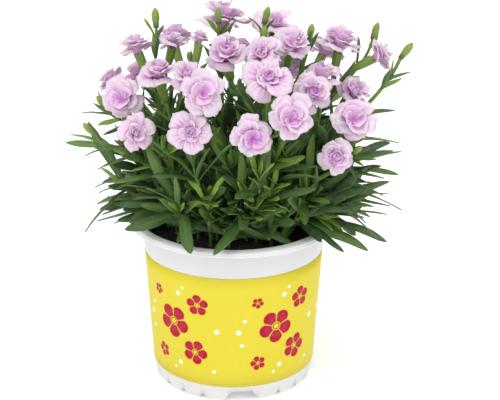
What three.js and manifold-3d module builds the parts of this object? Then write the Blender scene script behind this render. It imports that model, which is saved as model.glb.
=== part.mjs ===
// A dwarf carnation (Dianthus) in flower, growing in a moulded plastic pot with a printed band.
// Millimetres, +Z up. The origin is the centre of the pot's foot, on the surface that it stands on, and -Y is
// the front. Places on the plant are [bearing in degrees from +X towards +Y, reach from the pot's axis, height].
import * as THREE from "three";
import { mergeVertices } from "three/addons/utils/BufferGeometryUtils.js";
import Module from "manifold-3d";

const wasm = await Module();
wasm.setup();

// ---- driving dimensions ----

const POT = {
  height: 98,
  rimRadius: 60,
  rimInnerRadius: 54.6,
  wallTopRadius: 52.5, // outside, just under the rim
  footRadius: 46.6, // outside, where the wall would meet the table
  footRing: [43.2, 45.2], // inner and outer radius of the flat ring that the pot stands on
  wall: 1.3,
  rimDepth: 3.6, // how far the rim's outer edge turns down
  shoulder: 7.5, // where the wall starts to widen into the rim, below the top
  floorHeight: 6.8, // underside of the floor above the table
  floorThickness: 1.4,
  sides: 32,
};
const BAND = { low: 9.6, high: 79, recess: 0.5, thickness: 0.4, gap: 0.1 };
const FOOT = {
  ventTurns: [-84, 6, 96, 186], // bearings of the four wide vents
  ventWidth: 20, // at the table
  ventHeight: 6.4,
  notchOffsets: [28.4, 45, 61.6], // bearings of the small notches after each vent
  notchWidth: 4.8,
  notchHeight: 2.9,
  slant: 0.62, // how far each side of a cut leans in for each millimetre that it rises
  drainRadius: 3.6,
  drainReach: 30,
  drains: 4,
};
const SOIL = { level: 90, dome: 3.5, clearance: 0.3, rings: [18, 36, 50.2], sides: 16, holeDepth: 13 };
const STEM = {
  radius: 1.4,
  forkRadius: 0.95,
  sides: 5,
  clearance: 0.4, // between a stem's foot and its hole in the soil
  foot: 11, // how far the foot goes below the soil's level
  collar: 2.5,
  nodes: [0.2, 0.44],
};
const SHOOT = { radius: 1.2, sideRadius: 1.05, tipRadius: 0.8, sides: 4, tries: 12, swing: 9 };

// Rings of a calyx and of a bud: share of the length, radius.
const CALYX = { length: 15, below: 4, rings: [[0, 1.2], [0.4, 2.8], [1, 3.1]] }; // below the bloom's middle
const BUD = { rings: [[0, 1], [0.3, 2.3], [0.68, 2.2]] };

// Leaves: open is the angle from the stem in degrees, droop and outward are how far the tip leaves the straight
// line (shares of the length), and stations give the share of the width along the leaf. No tip hangs below the
// lowest height.
const BLADE = { thickness: 0.9, seat: 0.35, clearance: 0.35, lowest: 96 };
const TUFT_LEAF = {
  length: 37,
  width: 6.4,
  open: 44,
  droop: 0.15,
  outward: 0.14,
  stations: [[0, 0.15], [0.32, 1], [0.7, 0.76]],
};
const STEM_LEAF = {
  length: 36,
  width: 4.8,
  open: 34,
  droop: 0.12,
  outward: 0.16,
  stations: [[0, 0.15], [0.4, 1]],
};
const FINEST = 0.02; // how closely a piece's surface is kept where its limbs and leaves join
const TRIES = { count: 14, swing: 11, open: 7, shorten: 0.045 };

// One bloom's layers, from the outside in: petals, length as a share of half the width, height of the roots,
// rise of the petal's middle and edge and depth of its wave (shares of its length), and turn against the layer
// outside it.
const LAYERS = [
  { petals: 5, reach: 1, root: 0.7, middle: 0.22, edge: 0.16, wave: 0.07, turn: 0 },
  { petals: 4, reach: 0.74, root: 2.4, middle: 0.45, edge: 0.6, wave: 0.08, turn: 36 },
  { petals: 3, reach: 0.44, root: 3.9, middle: 0.7, edge: 1.1, wave: 0.08, turn: 20 },
];
const PETAL = { thickness: 0.8, rootRadius: 2.1, spine: 0.58, notch: 0.66, shoulder: 0.96, spread: 0.34 };

// Flowering stems. root is where the stem leaves the soil. A head has the place of its bloom's middle, or of
// its bud's tip, and the way it faces as [bearing, elevation]; a bloom has its width and a bud its length. The
// first head ends the main stem and the others fork from it.
const FLOWER_STEMS = [
  {
    root: [172, 17],
    heads: [
      { at: [-160, 65, 175], face: [-107, 30], width: 26 },
      { at: [163, 75, 172], face: [157, 35], width: 18 },
      { at: [174, 78, 166], face: [165, 50], length: 10 },
    ],
  },
  {
    root: [-140, 21],
    heads: [
      { at: [-137, 70, 163], face: [-62, 18], width: 23 },
      { at: [-165, 86, 160], face: [170, 42], length: 10 },
    ],
  },
  {
    root: [-165, 10],
    heads: [
      { at: [-157, 46, 187], face: [-135, 68], width: 23 },
      { at: [-130, 40, 190], face: [-120, 52], width: 20 },
    ],
  },
  {
    root: [148, 15],
    heads: [
      { at: [167, 57, 194], face: [146, 62], width: 20 },
      { at: [158, 36, 198], face: [-10, 76], width: 17 },
      { at: [163, 46, 216], face: [120, 84], length: 11 },
    ],
  },
  {
    root: [110, 6],
    heads: [
      { at: [98, 38, 202], face: [60, 80], width: 30 },
      { at: [168, 19, 203], face: [60, 70], width: 11 },
      { at: [120, 17, 216], face: [90, 80], length: 9 },
    ],
  },
  {
    root: [-112, 15],
    heads: [
      { at: [-107, 57, 189], face: [-84, 26], width: 25 },
      { at: [-111, 63, 167], face: [-92, 18], width: 26 },
    ],
  },
  {
    root: [-60, 6],
    heads: [
      { at: [-58, 30, 200], face: [-102, 42], width: 21 },
      { at: [-104, 19, 198], face: [-112, 60], width: 24 },
    ],
  },
  {
    root: [72, 14],
    heads: [
      { at: [60, 46, 199], face: [-80, 72], width: 27 },
      { at: [25, 19, 207], face: [60, 82], length: 11 },
      { at: [50, 31, 214], face: [20, 74], length: 10 },
    ],
  },
  {
    root: [18, 8],
    heads: [
      { at: [-2, 32, 199], face: [-77, 60], width: 23 },
      { at: [12, 45, 208], face: [10, 80], length: 10 },
    ],
  },
  {
    root: [-82, 22],
    heads: [
      { at: [-67, 49, 193], face: [-85, 50], width: 28 },
      { at: [-81, 65, 167], face: [-84, 14], width: 24 },
    ],
  },
  {
    root: [-48, 17],
    heads: [
      { at: [-64, 69, 177], face: [-83, 34], width: 26 },
      { at: [-33, 51, 179], face: [-82, 25], width: 23 },
    ],
  },
  {
    root: [2, 17],
    heads: [
      { at: [-8, 49, 182], face: [-90, 80], width: 22 },
      { at: [4, 69, 170], face: [-45, 52], width: 22 },
    ],
  },
  {
    root: [28, 21],
    heads: [
      { at: [17, 63, 194], face: [26, 78], width: 25 },
      { at: [13, 86, 187], face: [7, 27], width: 23 },
      { at: [20, 88, 203], face: [20, 70], length: 10 },
    ],
  },
  {
    root: [-24, 21],
    heads: [
      { at: [-27, 72, 166], face: [-82, 43], width: 26 },
      { at: [-41, 74, 149], face: [-90, 12], width: 21 },
      { at: [-32, 82, 154], face: [-40, 40], length: 9 },
    ],
  },
  { root: [-3, 27], heads: [{ at: [5, 101, 197], face: [5, 52], length: 11 }] },
  {
    root: [118, 22],
    heads: [
      { at: [122, 68, 184], face: [118, 50], width: 26 },
      { at: [138, 76, 164], face: [140, 30], width: 24 },
      { at: [110, 80, 172], face: [112, 40], length: 10 },
    ],
  },
  {
    root: [82, 24],
    heads: [
      { at: [92, 66, 176], face: [90, 42], width: 26 },
      { at: [64, 74, 168], face: [62, 32], width: 24 },
    ],
  },
  {
    root: [50, 24],
    heads: [
      { at: [38, 68, 184], face: [42, 52], width: 25 },
      { at: [34, 83, 160], face: [30, 25], width: 22 },
    ],
  },
];

// Leafy tufts without flowers, round the flowering stems: each one's root and how widely it spreads. Each of a
// tuft's shoots swings from the tuft's own bearing, ends so far out from its root and so far above the soil, and
// has a pair of leaves at each node.
const TUFTS = {
  roots: [[-96, 21], [-52, 25], [-12, 32], [36, 33], [80, 30], [122, 29], [168, 32], [-142, 28]],
  spreads: [0.7, 0.6, 1, 1, 0.5, 0.6, 1.45, 1.1],
  shoots: [
    { swing: -20, out: 16, rise: 14, nodes: [0.5, 1] },
    { swing: 20, out: 20, rise: 21, nodes: [0.5, 1] },
    { swing: 2, out: 18, rise: 43, nodes: [0.36, 0.7, 1] },
  ],
};

// ---- materials ----

const MATERIALS = {
  pot: new THREE.MeshStandardMaterial({ color: 0xeeeeec, roughness: 0.42, metalness: 0 }),
  band: new THREE.MeshStandardMaterial({ color: 0xf2e04a, roughness: 0.4, metalness: 0 }),
  soil: new THREE.MeshStandardMaterial({ color: 0x241c17, roughness: 0.98, metalness: 0 }),
  leaf: new THREE.MeshStandardMaterial({ color: 0x3d6a2b, roughness: 0.6, metalness: 0 }),
  petal: new THREE.MeshStandardMaterial({ color: 0xdfb9e2, roughness: 0.7, metalness: 0 }),
};

// ---- solids ----

const UP = new THREE.Vector3(0, 0, 1);
const radians = THREE.MathUtils.degToRad;

// Seeded random numbers from 0 to 1, so that every build grows the same plant.
function randomSource(seed) {
  let state = seed >>> 0;
  return () => {
    state = (state + 0x6d2b79f5) >>> 0;
    let t = Math.imul(state ^ (state >>> 15), 1 | state);
    t = (t + Math.imul(t ^ (t >>> 7), 61 | t)) ^ t;
    return ((t ^ (t >>> 14)) >>> 0) / 4294967296;
  };
}

// A closed three.js geometry as a manifold-3d solid, turned right side out.
function solidOf(geometry) {
  const bare = geometry.clone();
  bare.deleteAttribute("normal");
  bare.deleteAttribute("uv");
  const merged = mergeVertices(bare, 1e-4);
  const triVerts = new Uint32Array(merged.index.array);
  const vertProperties = merged.attributes.position.array;
  const made = new wasm.Manifold(new wasm.Mesh({ numProp: 3, vertProperties, triVerts }));
  if (made.volume() > 0) return made;
  for (let i = 0; i < triVerts.length; i += 3) {
    [triVerts[i + 1], triVerts[i + 2]] = [triVerts[i + 2], triVerts[i + 1]];
  }
  return new wasm.Manifold(new wasm.Mesh({ numProp: 3, vertProperties, triVerts }));
}

// A closed solid from corner points and the triangles between them.
function solidFrom(points, triangles) {
  const geometry = new THREE.BufferGeometry().setFromPoints(points);
  geometry.setIndex(triangles.flat());
  return solidOf(geometry);
}

// A named mesh of a solid.
function meshOf(name, solid, material) {
  const { vertProperties, triVerts } = solid.getMesh();
  const geometry = new THREE.BufferGeometry();
  geometry.setAttribute("position", new THREE.BufferAttribute(new Float32Array(vertProperties), 3));
  geometry.setIndex(new THREE.BufferAttribute(new Uint32Array(triVerts), 1));
  geometry.computeVertexNormals();
  const mesh = new THREE.Mesh(geometry, material);
  mesh.name = name;
  return mesh;
}

function union(solids) {
  return solids.reduce((whole, piece) => whole.add(piece));
}

// The triangles of a flat polygon of corner indices, fanned from its first corner.
function fan(corners) {
  return corners.slice(2).map((corner, k) => [corners[0], corners[k + 1], corner]);
}

// The solid that runs through rings of points, and on to the tip if there is one.
function loft(rings, tip) {
  const count = rings[0].length;
  const points = rings.flat();
  const corners = rings.map((_, r) => Array.from({ length: count }, (__, k) => r * count + k));
  const triangles = fan(corners[0]);
  for (let r = 1; r < rings.length; r += 1) {
    for (let k = 0; k < count; k += 1) {
      const next = (k + 1) % count;
      triangles.push([corners[r - 1][k], corners[r][k], corners[r - 1][next]]);
      triangles.push([corners[r - 1][next], corners[r][k], corners[r][next]]);
    }
  }
  const last = corners.at(-1);
  if (!tip) return solidFrom(points, [...triangles, ...fan([...last].reverse())]);
  points.push(tip);
  last.forEach((corner, k) => triangles.push([corner, points.length - 1, last[(k + 1) % count]]));
  return solidFrom(points, triangles);
}

// The point at a bearing, reach and height.
function place([bearing, reach, height = 0]) {
  return new THREE.Vector3(reach * Math.cos(radians(bearing)), reach * Math.sin(radians(bearing)), height);
}

// The unit vector at a bearing and elevation.
function direction([bearing, elevation]) {
  const flat = Math.cos(radians(elevation));
  return place([bearing, flat, Math.sin(radians(elevation))]);
}

// The part of a vector that lies square to a unit axis, as a unit vector.
function squareTo(axis, vector) {
  return vector.clone().addScaledVector(axis, -vector.dot(axis)).normalize();
}

// Two unit vectors square to an axis and to each other, the first level.
function crossAxes(axis) {
  const level = new THREE.Vector3(-axis.y, axis.x, 0);
  const first = level.lengthSq() > 1e-4 ? level.normalize() : new THREE.Vector3(1, 0, 0);
  return [first, new THREE.Vector3().crossVectors(axis, first)];
}

// A rod through stations of { centre, axis, radius }, thickened by extra, and on to the tip if there is one.
function rod(stations, { sides = STEM.sides, extra = 0, tip = undefined } = {}) {
  let side = new THREE.Vector3(1, 0, 0);
  const rings = stations.map(({ centre, axis, radius }) => {
    side = squareTo(axis, side);
    const other = new THREE.Vector3().crossVectors(axis, side);
    return Array.from({ length: sides }, (_, k) => {
      const turn = (k / sides) * 2 * Math.PI;
      const point = centre.clone().addScaledVector(side, (radius + extra) * Math.cos(turn));
      return point.addScaledVector(other, (radius + extra) * Math.sin(turn));
    });
  });
  return loft(rings, tip);
}

// ---- pot, band and soil ----

// Outside radius of the pot's wall at a height.
function wallRadius(height) {
  return POT.footRadius + ((POT.wallTopRadius - POT.footRadius) * height) / (POT.height - POT.shoulder);
}

function turned(profile) {
  const outline = profile.map(([radius, height]) => new THREE.Vector2(radius, height));
  return solidOf(new THREE.LatheGeometry(outline, POT.sides).rotateX(Math.PI / 2));
}

// What cuts one vent or notch through the foot, wider at the table than above.
function footCut(bearing, width, height) {
  const slant = FOOT.slant * height;
  const outline = new THREE.Shape([
    new THREE.Vector2(-width / 2 - slant, -height),
    new THREE.Vector2(width / 2 + slant, -height),
    new THREE.Vector2(width / 2 - slant, height),
    new THREE.Vector2(-width / 2 + slant, height),
  ]);
  const depth = 6;
  return solidOf(
    new THREE.ExtrudeGeometry(outline, { depth, bevelEnabled: false })
      .rotateX(Math.PI / 2)
      .translate(0, depth - POT.footRadius - 1.5, 0)
      .rotateZ(radians(bearing + 90)),
  );
}

function makePot() {
  const { height, rimRadius, rimInnerRadius, wallTopRadius, wall, rimDepth, shoulder, floorHeight } = POT;
  const [footInner, footOuter] = POT.footRing;
  const floorTop = floorHeight + POT.floorThickness;
  const inner = (z) => wallRadius(z) - wall;
  const recess = (z) => wallRadius(z) - BAND.recess;
  const body = turned([
    [0, floorHeight],
    [footInner, floorHeight],
    [footInner, 0],
    [footOuter, 0],
    [wallRadius(BAND.low), BAND.low],
    [recess(BAND.low), BAND.low],
    [recess(BAND.high), BAND.high],
    [wallRadius(BAND.high), BAND.high],
    [wallTopRadius, height - shoulder],
    [wallTopRadius + 1.4, height - rimDepth - 0.8],
    [rimRadius - 1.2, height - rimDepth],
    [rimRadius, height - rimDepth + 0.9],
    [rimRadius - 0.3, height - 1],
    [rimRadius - 2, height],
    [rimInnerRadius, height],
    [inner(height - shoulder), height - shoulder],
    [inner(floorTop), floorTop],
    [0, floorTop],
  ]);
  const cuts = FOOT.ventTurns.flatMap((vent) => [
    footCut(vent, FOOT.ventWidth, FOOT.ventHeight),
    ...FOOT.notchOffsets.map((offset) => footCut(vent + offset, FOOT.notchWidth, FOOT.notchHeight)),
  ]);
  for (let k = 0; k < FOOT.drains; k += 1) {
    const drain = new THREE.CylinderGeometry(FOOT.drainRadius, FOOT.drainRadius, 8, 6).rotateX(Math.PI / 2);
    const spot = place([45 + (k / FOOT.drains) * 360, FOOT.drainReach, floorHeight]);
    cuts.push(solidOf(drain.translate(spot.x, spot.y, spot.z)));
  }
  return cuts.reduce((pot, cut) => pot.subtract(cut), body);
}

// The printed film round the wall, lying in the wall's shallow recess.
function makeBand() {
  const low = BAND.low + BAND.gap;
  const high = BAND.high - BAND.gap;
  const inside = (z) => wallRadius(z) - BAND.recess + BAND.gap;
  const outside = (z) => inside(z) + BAND.thickness;
  return turned([
    [inside(low), low],
    [outside(low), low],
    [outside(high), high],
    [inside(high), high],
    [inside(low), low],
  ]);
}

// Height of the soil's surface at a place: a low dome with lumps.
function soilHeight({ x, y }) {
  const dome = SOIL.dome * (1 - (Math.hypot(x, y) / POT.rimInnerRadius) ** 2);
  const lumps = 0.8 * Math.sin(0.31 * x + 1.2) * Math.cos(0.27 * y) + 0.5 * Math.sin(0.74 * y - 0.42 * x);
  return SOIL.level + dome + lumps;
}

// A stem's foot in its hole: from below the soil's surface straight up to just above it.
function footStations(root, radius) {
  const bottom = place([...root, SOIL.level - STEM.foot]);
  const collar = place(root);
  collar.z = soilHeight(collar) + STEM.collar;
  return [
    { centre: bottom, axis: UP, radius },
    { centre: collar, axis: UP, radius },
  ];
}

// The soil that fills the pot, with a plain hole for each stem's foot.
function makeSoil(roots) {
  const { rings, sides, clearance, holeDepth, level } = SOIL;
  const bottom = POT.floorHeight + POT.floorThickness + clearance;
  const bottomRadius = wallRadius(bottom) - POT.wall - 2 * clearance;
  const points = [new THREE.Vector3(0, 0, soilHeight({ x: 0, y: 0 })), new THREE.Vector3(0, 0, bottom)];
  const corners = [...rings, bottomRadius].map((radius, r) =>
    Array.from({ length: sides }, (_, k) => {
      const spot = place([(k / sides) * 360, radius, bottom]);
      if (r < rings.length) spot.z = soilHeight(spot);
      return points.push(spot) - 1;
    }),
  );
  const triangles = [];
  for (let k = 0; k < sides; k += 1) {
    const next = (k + 1) % sides;
    triangles.push([0, corners[0][k], corners[0][next]]);
    for (let r = 1; r < corners.length; r += 1) {
      triangles.push([corners[r - 1][k], corners[r][k], corners[r - 1][next]]);
      triangles.push([corners[r - 1][next], corners[r][k], corners[r][next]]);
    }
    triangles.push([1, corners.at(-1)[next], corners.at(-1)[k]]);
  }
  const holes = roots.map(([root, stemRadius]) => {
    const radius = stemRadius + STEM.clearance;
    return rod([
      { centre: place([...root, level - holeDepth]), axis: UP, radius },
      { centre: place([...root, level + holeDepth]), axis: UP, radius },
    ]);
  });
  return holes.reduce((body, hole) => body.subtract(hole), solidFrom(points, triangles));
}

// ---- stems ----

// A curve that leaves a point along one direction and arrives at another along a second.
function stemCurve(start, leaving, end, arriving) {
  const span = start.distanceTo(end);
  const leave = start.clone().addScaledVector(leaving, 0.4 * span);
  const arrive = end.clone().addScaledVector(arriving, -0.32 * span);
  return new THREE.CubicBezierCurve3(start, leave, arrive, end);
}

// Stations of an even rod at shares of the way along a curve.
function curveStations(curve, shares, radius) {
  return shares.map((t) => ({ centre: curve.getPoint(t), axis: curve.getTangent(t), radius }));
}

// Where a bud ends, or the calyx under a bloom.
function headTip({ at, face, width }) {
  return place(at).addScaledVector(direction(face), width ? -CALYX.below : 0);
}

// Stations of a calyx or a bud.
function headStations(head, axis, end) {
  const { rings } = head.width ? CALYX : BUD;
  const length = head.length ?? CALYX.length;
  return rings.map(([share, radius]) => ({
    centre: end.clone().addScaledVector(axis, share * length),
    axis,
    radius: radius * (head.width ? 0.8 + 0.2 * Math.min(1, head.width / 20) : 1),
  }));
}

// The main stem and the forks of one flowering stem: each one's curve and solid.
function flowerStem({ root, heads }) {
  const foot = footStations(root, STEM.radius);
  const limbs = [];
  heads.forEach((head, k) => {
    const axis = direction(head.face);
    const tip = headTip(head);
    const end = tip.clone().addScaledVector(axis, -(head.length ?? CALYX.length));
    const fork = 0.4 + 0.13 * k;
    const start = k ? limbs[0].curve.getPoint(fork) : foot[1].centre;
    const outward = direction([head.at[0], 62]);
    const leaving = k
      ? limbs[0].curve.getTangent(fork).lerp(outward, 0.4).normalize()
      : direction([head.at[0], 76]);
    const curve = stemCurve(start, leaving, end, axis.clone().addScaledVector(UP, 0.8).normalize());
    const stations = [
      ...(k ? curveStations(curve, [0, 0.5], STEM.forkRadius) : foot),
      ...(k ? [] : curveStations(curve, [...STEM.nodes, 0.7], STEM.radius)),
      ...headStations(head, axis, end),
    ];
    limbs.push({ curve, solid: rod(stations, { tip: head.width ? undefined : tip }) });
  });
  return limbs;
}

// ---- leaves ----

// A keeled blade that arches from its base, thickened by extra to test whether it is clear.
function blade({ base, along, side, bend, length, width, stations }, extra = 0) {
  const rings = stations.map(([s, share]) => {
    const centre = base.clone().addScaledVector(along, length * s).addScaledVector(bend, s * s);
    const tangent = along.clone().multiplyScalar(length).addScaledVector(bend, 2 * s).normalize();
    const level = squareTo(tangent, side);
    const normal = new THREE.Vector3().crossVectors(tangent, level);
    const half = (width * share) / 2 + extra;
    const edge = (sign) => centre.clone().addScaledVector(level, sign * half).addScaledVector(normal, extra);
    const keel = BLADE.thickness * (s ? 1 : 0.5) + extra;
    return [edge(1), edge(-1), centre.clone().addScaledVector(normal, -keel)];
  });
  return loft(rings, base.clone().addScaledVector(along, length + extra).add(bend));
}

// A leaf's measures on its n-th try: each try swings it further round its stem, opens and shortens it more.
function leafTry({ spot, axis, kind, swing, open, length, width, droop }, attempt) {
  const turn = (attempt % 2 ? 1 : -1) * Math.ceil(attempt / 2) * TRIES.swing;
  const around = radians(swing + turn);
  const opened = radians(open + (attempt % 3) * TRIES.open);
  const [level, other] = crossAxes(axis);
  const outward = level.multiplyScalar(Math.cos(around)).addScaledVector(other, Math.sin(around));
  const along = axis.clone().multiplyScalar(Math.cos(opened)).addScaledVector(outward, Math.sin(opened));
  const side = new THREE.Vector3().crossVectors(axis, outward);
  const size = length * (1 - TRIES.shorten * attempt);
  const bend = outward.clone().multiplyScalar(kind.outward * size).addScaledVector(UP, -droop * size);
  const base = spot.clone().addScaledVector(outward, BLADE.seat);
  bend.z += Math.max(0, BLADE.lowest - (base.z + size * along.z + bend.z));
  return { base, along, side, bend, length: size, width, stations: kind.stations };
}

// Opposite pairs of leaves at the nodes up a curve, each pair square to the one below: what each needs to grow.
function leafBeds(name, curve, nodes, kind, random) {
  const start = 360 * random();
  return nodes.flatMap((t, pair) => {
    const spot = curve.getPoint(t);
    return [0, 180].map((half) => ({
      name,
      kind,
      spot,
      axis: curve.getTangent(t),
      swing: start + 90 * pair + half + 24 * (random() - 0.5),
      open: kind.open * (0.8 + 0.4 * random()),
      length: kind.length * (0.8 + 0.36 * random()),
      width: kind.width * (0.85 + 0.3 * random()),
      droop: kind.droop * (0.5 + random()),
    }));
  });
}

// ---- blooms ----

// Triangles of the band between a ring of corners and the ring above it, which may have another count.
function stitch(lower, upper) {
  const full = 2 * Math.PI;
  const shift = Math.round(((lower.turn - upper.turn) / full) * upper.corners.length);
  const lowAngle = (i) => lower.turn + (i / lower.corners.length) * full;
  const highAngle = (j) => upper.turn + ((j + shift) / upper.corners.length) * full;
  const low = (i) => lower.corners[i % lower.corners.length];
  const high = (j) => upper.corners.at((j + shift) % upper.corners.length);
  const triangles = [];
  let [i, j] = [0, 0];
  while (i < lower.corners.length || j < upper.corners.length) {
    const highDone = j === upper.corners.length;
    const lowNext = i < lower.corners.length && (highDone || lowAngle(i + 1) <= highAngle(j + 1));
    triangles.push(lowNext ? [low(i), low(i + 1), high(j)] : [low(i), high(j + 1), high(j)]);
    if (lowNext) i += 1;
    else j += 1;
  }
  return triangles;
}

// One bloom: layers of waved petals, each layer one leafed sheet on the short core that carries them all.
function bloomSolid({ at, face, width }, seed) {
  const random = randomSource(seed);
  const axis = direction(face);
  const centre = headTip({ at, face, width });
  const [a, b] = crossAxes(axis);
  const points = [];
  const add = (turn, out, lift) => {
    const point = centre.clone().addScaledVector(a, out * Math.cos(turn));
    return points.push(point.addScaledVector(b, out * Math.sin(turn)).addScaledVector(axis, lift)) - 1;
  };
  const size = 0.6 + 0.4 * Math.min(1, width / 20);
  const half = PETAL.thickness / 2;
  const triangles = [];
  let turn = 2 * Math.PI * random();
  let below;
  LAYERS.forEach((layer) => {
    turn += radians(layer.turn);
    const sector = (2 * Math.PI) / layer.petals;
    const each = Array.from({ length: layer.petals }, (_, k) => k);
    const root = layer.root * size;
    const ringAt = (lift) => each.map((k) => add(turn + k * sector, PETAL.rootRadius * size, root + lift));
    const [innerTop, innerLow] = [ringAt(half), ringAt(-half)];
    const length = (layer.reach * width) / 2;
    const wave = () => layer.wave * length * (0.6 + 0.8 * random());
    const rims = each.map((k) => {
      const long = length * (0.94 + 0.12 * random());
      const middle = turn + (k + 0.5) * sector;
      const edge = root + layer.edge * long;
      return {
        middle,
        long,
        corners: [
          add(turn + k * sector, PETAL.notch * length, root + layer.middle * length),
          add(middle - PETAL.spread * sector, PETAL.shoulder * long, edge - wave()),
          add(middle, long, edge + 2 * wave() - layer.wave * length),
          add(middle + PETAL.spread * sector, PETAL.shoulder * long, edge + wave()),
        ],
      };
    });
    each.forEach((k) => {
      const next = (k + 1) % layer.petals;
      const { middle, long, corners } = rims[k];
      const border = [...corners, rims[next].corners[0], innerTop[next], innerTop[k]];
      const lowBorder = [...corners, rims[next].corners[0], innerLow[next], innerLow[k]];
      const spine = root + layer.middle * long;
      const spineTop = add(middle, PETAL.spine * long, spine + half);
      const spineLow = add(middle, PETAL.spine * long, spine - half);
      border.forEach((corner, n) => triangles.push([spineTop, corner, border[(n + 1) % border.length]]));
      lowBorder.forEach((corner, n) => {
        triangles.push([spineLow, lowBorder[(n + 1) % lowBorder.length], corner]);
      });
    });
    const joined = below ? stitch(below, { corners: innerLow, turn }) : fan([...innerLow].reverse());
    triangles.push(...joined);
    below = { corners: innerTop, turn };
  });
  triangles.push(...fan(below.corners));
  return solidFrom(points, triangles);
}

// ---- the plant ----

// Everything that has grown so far, so that a new shoot or leaf can be bent clear of the other pieces.
class Garden {
  pieces = new Map();

  add(name, solid, spot = undefined) {
    if (!this.pieces.has(name)) this.pieces.set(name, []);
    this.pieces.get(name).push({ solid, box: solid.boundingBox(), spot });
  }

  // Whether a solid is clear of all other pieces and, if a leaf, of its own piece's leaves at other spots.
  isClear(name, solid, spot) {
    const box = solid.boundingBox();
    const apart = (other) => [0, 1, 2].some((k) => box.min[k] > other.max[k] || other.min[k] > box.max[k]);
    const meets = (grown) => !apart(grown.box) && !grown.solid.intersect(solid).isEmpty();
    return [...this.pieces].every(([owner, pieces]) => {
      const elsewhere = (grown) => spot && grown.spot && grown.spot !== spot;
      return !(owner === name ? pieces.filter(elsewhere) : pieces).some(meets);
    });
  }

  // Grows the first try that is clear, if one is, and returns its measures.
  grow(name, tries, measure, build, spot = undefined) {
    for (let attempt = 0; attempt < tries; attempt += 1) {
      const form = measure(attempt);
      if (this.isClear(name, build(form, BLADE.clearance), spot)) {
        this.add(name, build(form), spot);
        return form;
      }
    }
    return undefined;
  }

  fused(name) {
    return union(this.pieces.get(name).map(({ solid }) => solid)).simplify(FINEST);
  }
}

const garden = new Garden();
const numbered = (word, k) => `${word}_${String(k + 1).padStart(2, "0")}`;
const beds = [];

const roots = [
  ...FLOWER_STEMS.map(({ root }) => [root, STEM.radius]),
  ...TUFTS.roots.map((root) => [root, SHOOT.radius]),
];
garden.add("pot", makePot());
garden.add("printed_band", makeBand());
garden.add("soil", makeSoil(roots));

FLOWER_STEMS.forEach((stem, k) => {
  const name = numbered("flower_stem", k);
  const limbs = flowerStem(stem);
  limbs.forEach(({ solid }) => garden.add(name, solid));
  beds.push(...leafBeds(name, limbs[0].curve, STEM.nodes, STEM_LEAF, randomSource(100 + k)));
});

const blooms = FLOWER_STEMS.flatMap(({ heads }) => heads.filter(({ width }) => width));
blooms.forEach((bloom, k) => garden.add(numbered("bloom", k), bloomSolid(bloom, 500 + k)));

TUFTS.roots.forEach((root, k) => {
  const name = numbered("leaf_tuft", k);
  const random = randomSource(300 + k);
  const foot = footStations(root, SHOOT.radius);
  TUFTS.shoots.forEach(({ swing, out, rise, nodes }, n) => {
    const bearing = root[0] + swing + 10 * (random() - 0.5);
    const reach = root[1] + TUFTS.spreads[k] * out * (0.85 + 0.3 * random());
    const height = SOIL.level + SOIL.dome + rise * (0.85 + 0.3 * random());
    const measure = (attempt) => {
      const turn = (attempt % 2 ? 1 : -1) * Math.ceil(attempt / 2) * SHOOT.swing;
      const start = foot[1].centre.clone().addScaledVector(UP, n ? -1 : 0);
      const tip = place([bearing + turn, reach, height]);
      return stemCurve(start, UP, tip, tip.clone().sub(start).normalize());
    };
    const build = (curve, extra = 0) => {
      const radius = n ? SHOOT.sideRadius : SHOOT.radius;
      const start = n || extra ? curveStations(curve, [0], radius) : foot;
      const bent = curveStations(curve, nodes.slice(0, -1), radius);
      const [tip] = curveStations(curve, [1], SHOOT.tipRadius);
      tip.centre.addScaledVector(tip.axis, SHOOT.tipRadius);
      return rod([...start, ...bent, tip], { sides: SHOOT.sides, extra });
    };
    const curve = garden.grow(name, SHOOT.tries, measure, build);
    if (curve) beds.push(...leafBeds(name, curve, nodes, TUFT_LEAF, random));
  });
});

beds.forEach((bed) => {
  garden.grow(bed.name, TRIES.count, (attempt) => leafTry(bed, attempt), blade, bed.spot);
});

const part = new THREE.Group();
const materialOf = (name) => {
  const kind = { pot: "pot", printed: "band", soil: "soil", bloom: "petal" }[name.split("_")[0]];
  return MATERIALS[kind ?? "leaf"];
};
for (const name of garden.pieces.keys()) part.add(meshOf(name, garden.fused(name), materialOf(name)));

export default part;
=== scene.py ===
"""A dwarf carnation in flower, growing in a moulded plastic pot with a printed band.

The packed solids say how far the plant reaches and which leaves grew. The classes below build what shows:
the pot, its band and its peat, then the stems and leaves, the calyces and buds, and the petals. Lengths are
in millimetres until a mesh is written, which is in metres. Bearings are in degrees from +X towards +Y, and
-Y is the front.
"""

from __future__ import annotations

import logging
import math
from contextlib import contextmanager
from dataclasses import dataclass, field
from enum import Enum, IntEnum
from functools import reduce
from typing import Callable, Iterator

import bpy
import numpy as np
from mathutils import Matrix, Vector
from mathutils.kdtree import KDTree

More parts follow.
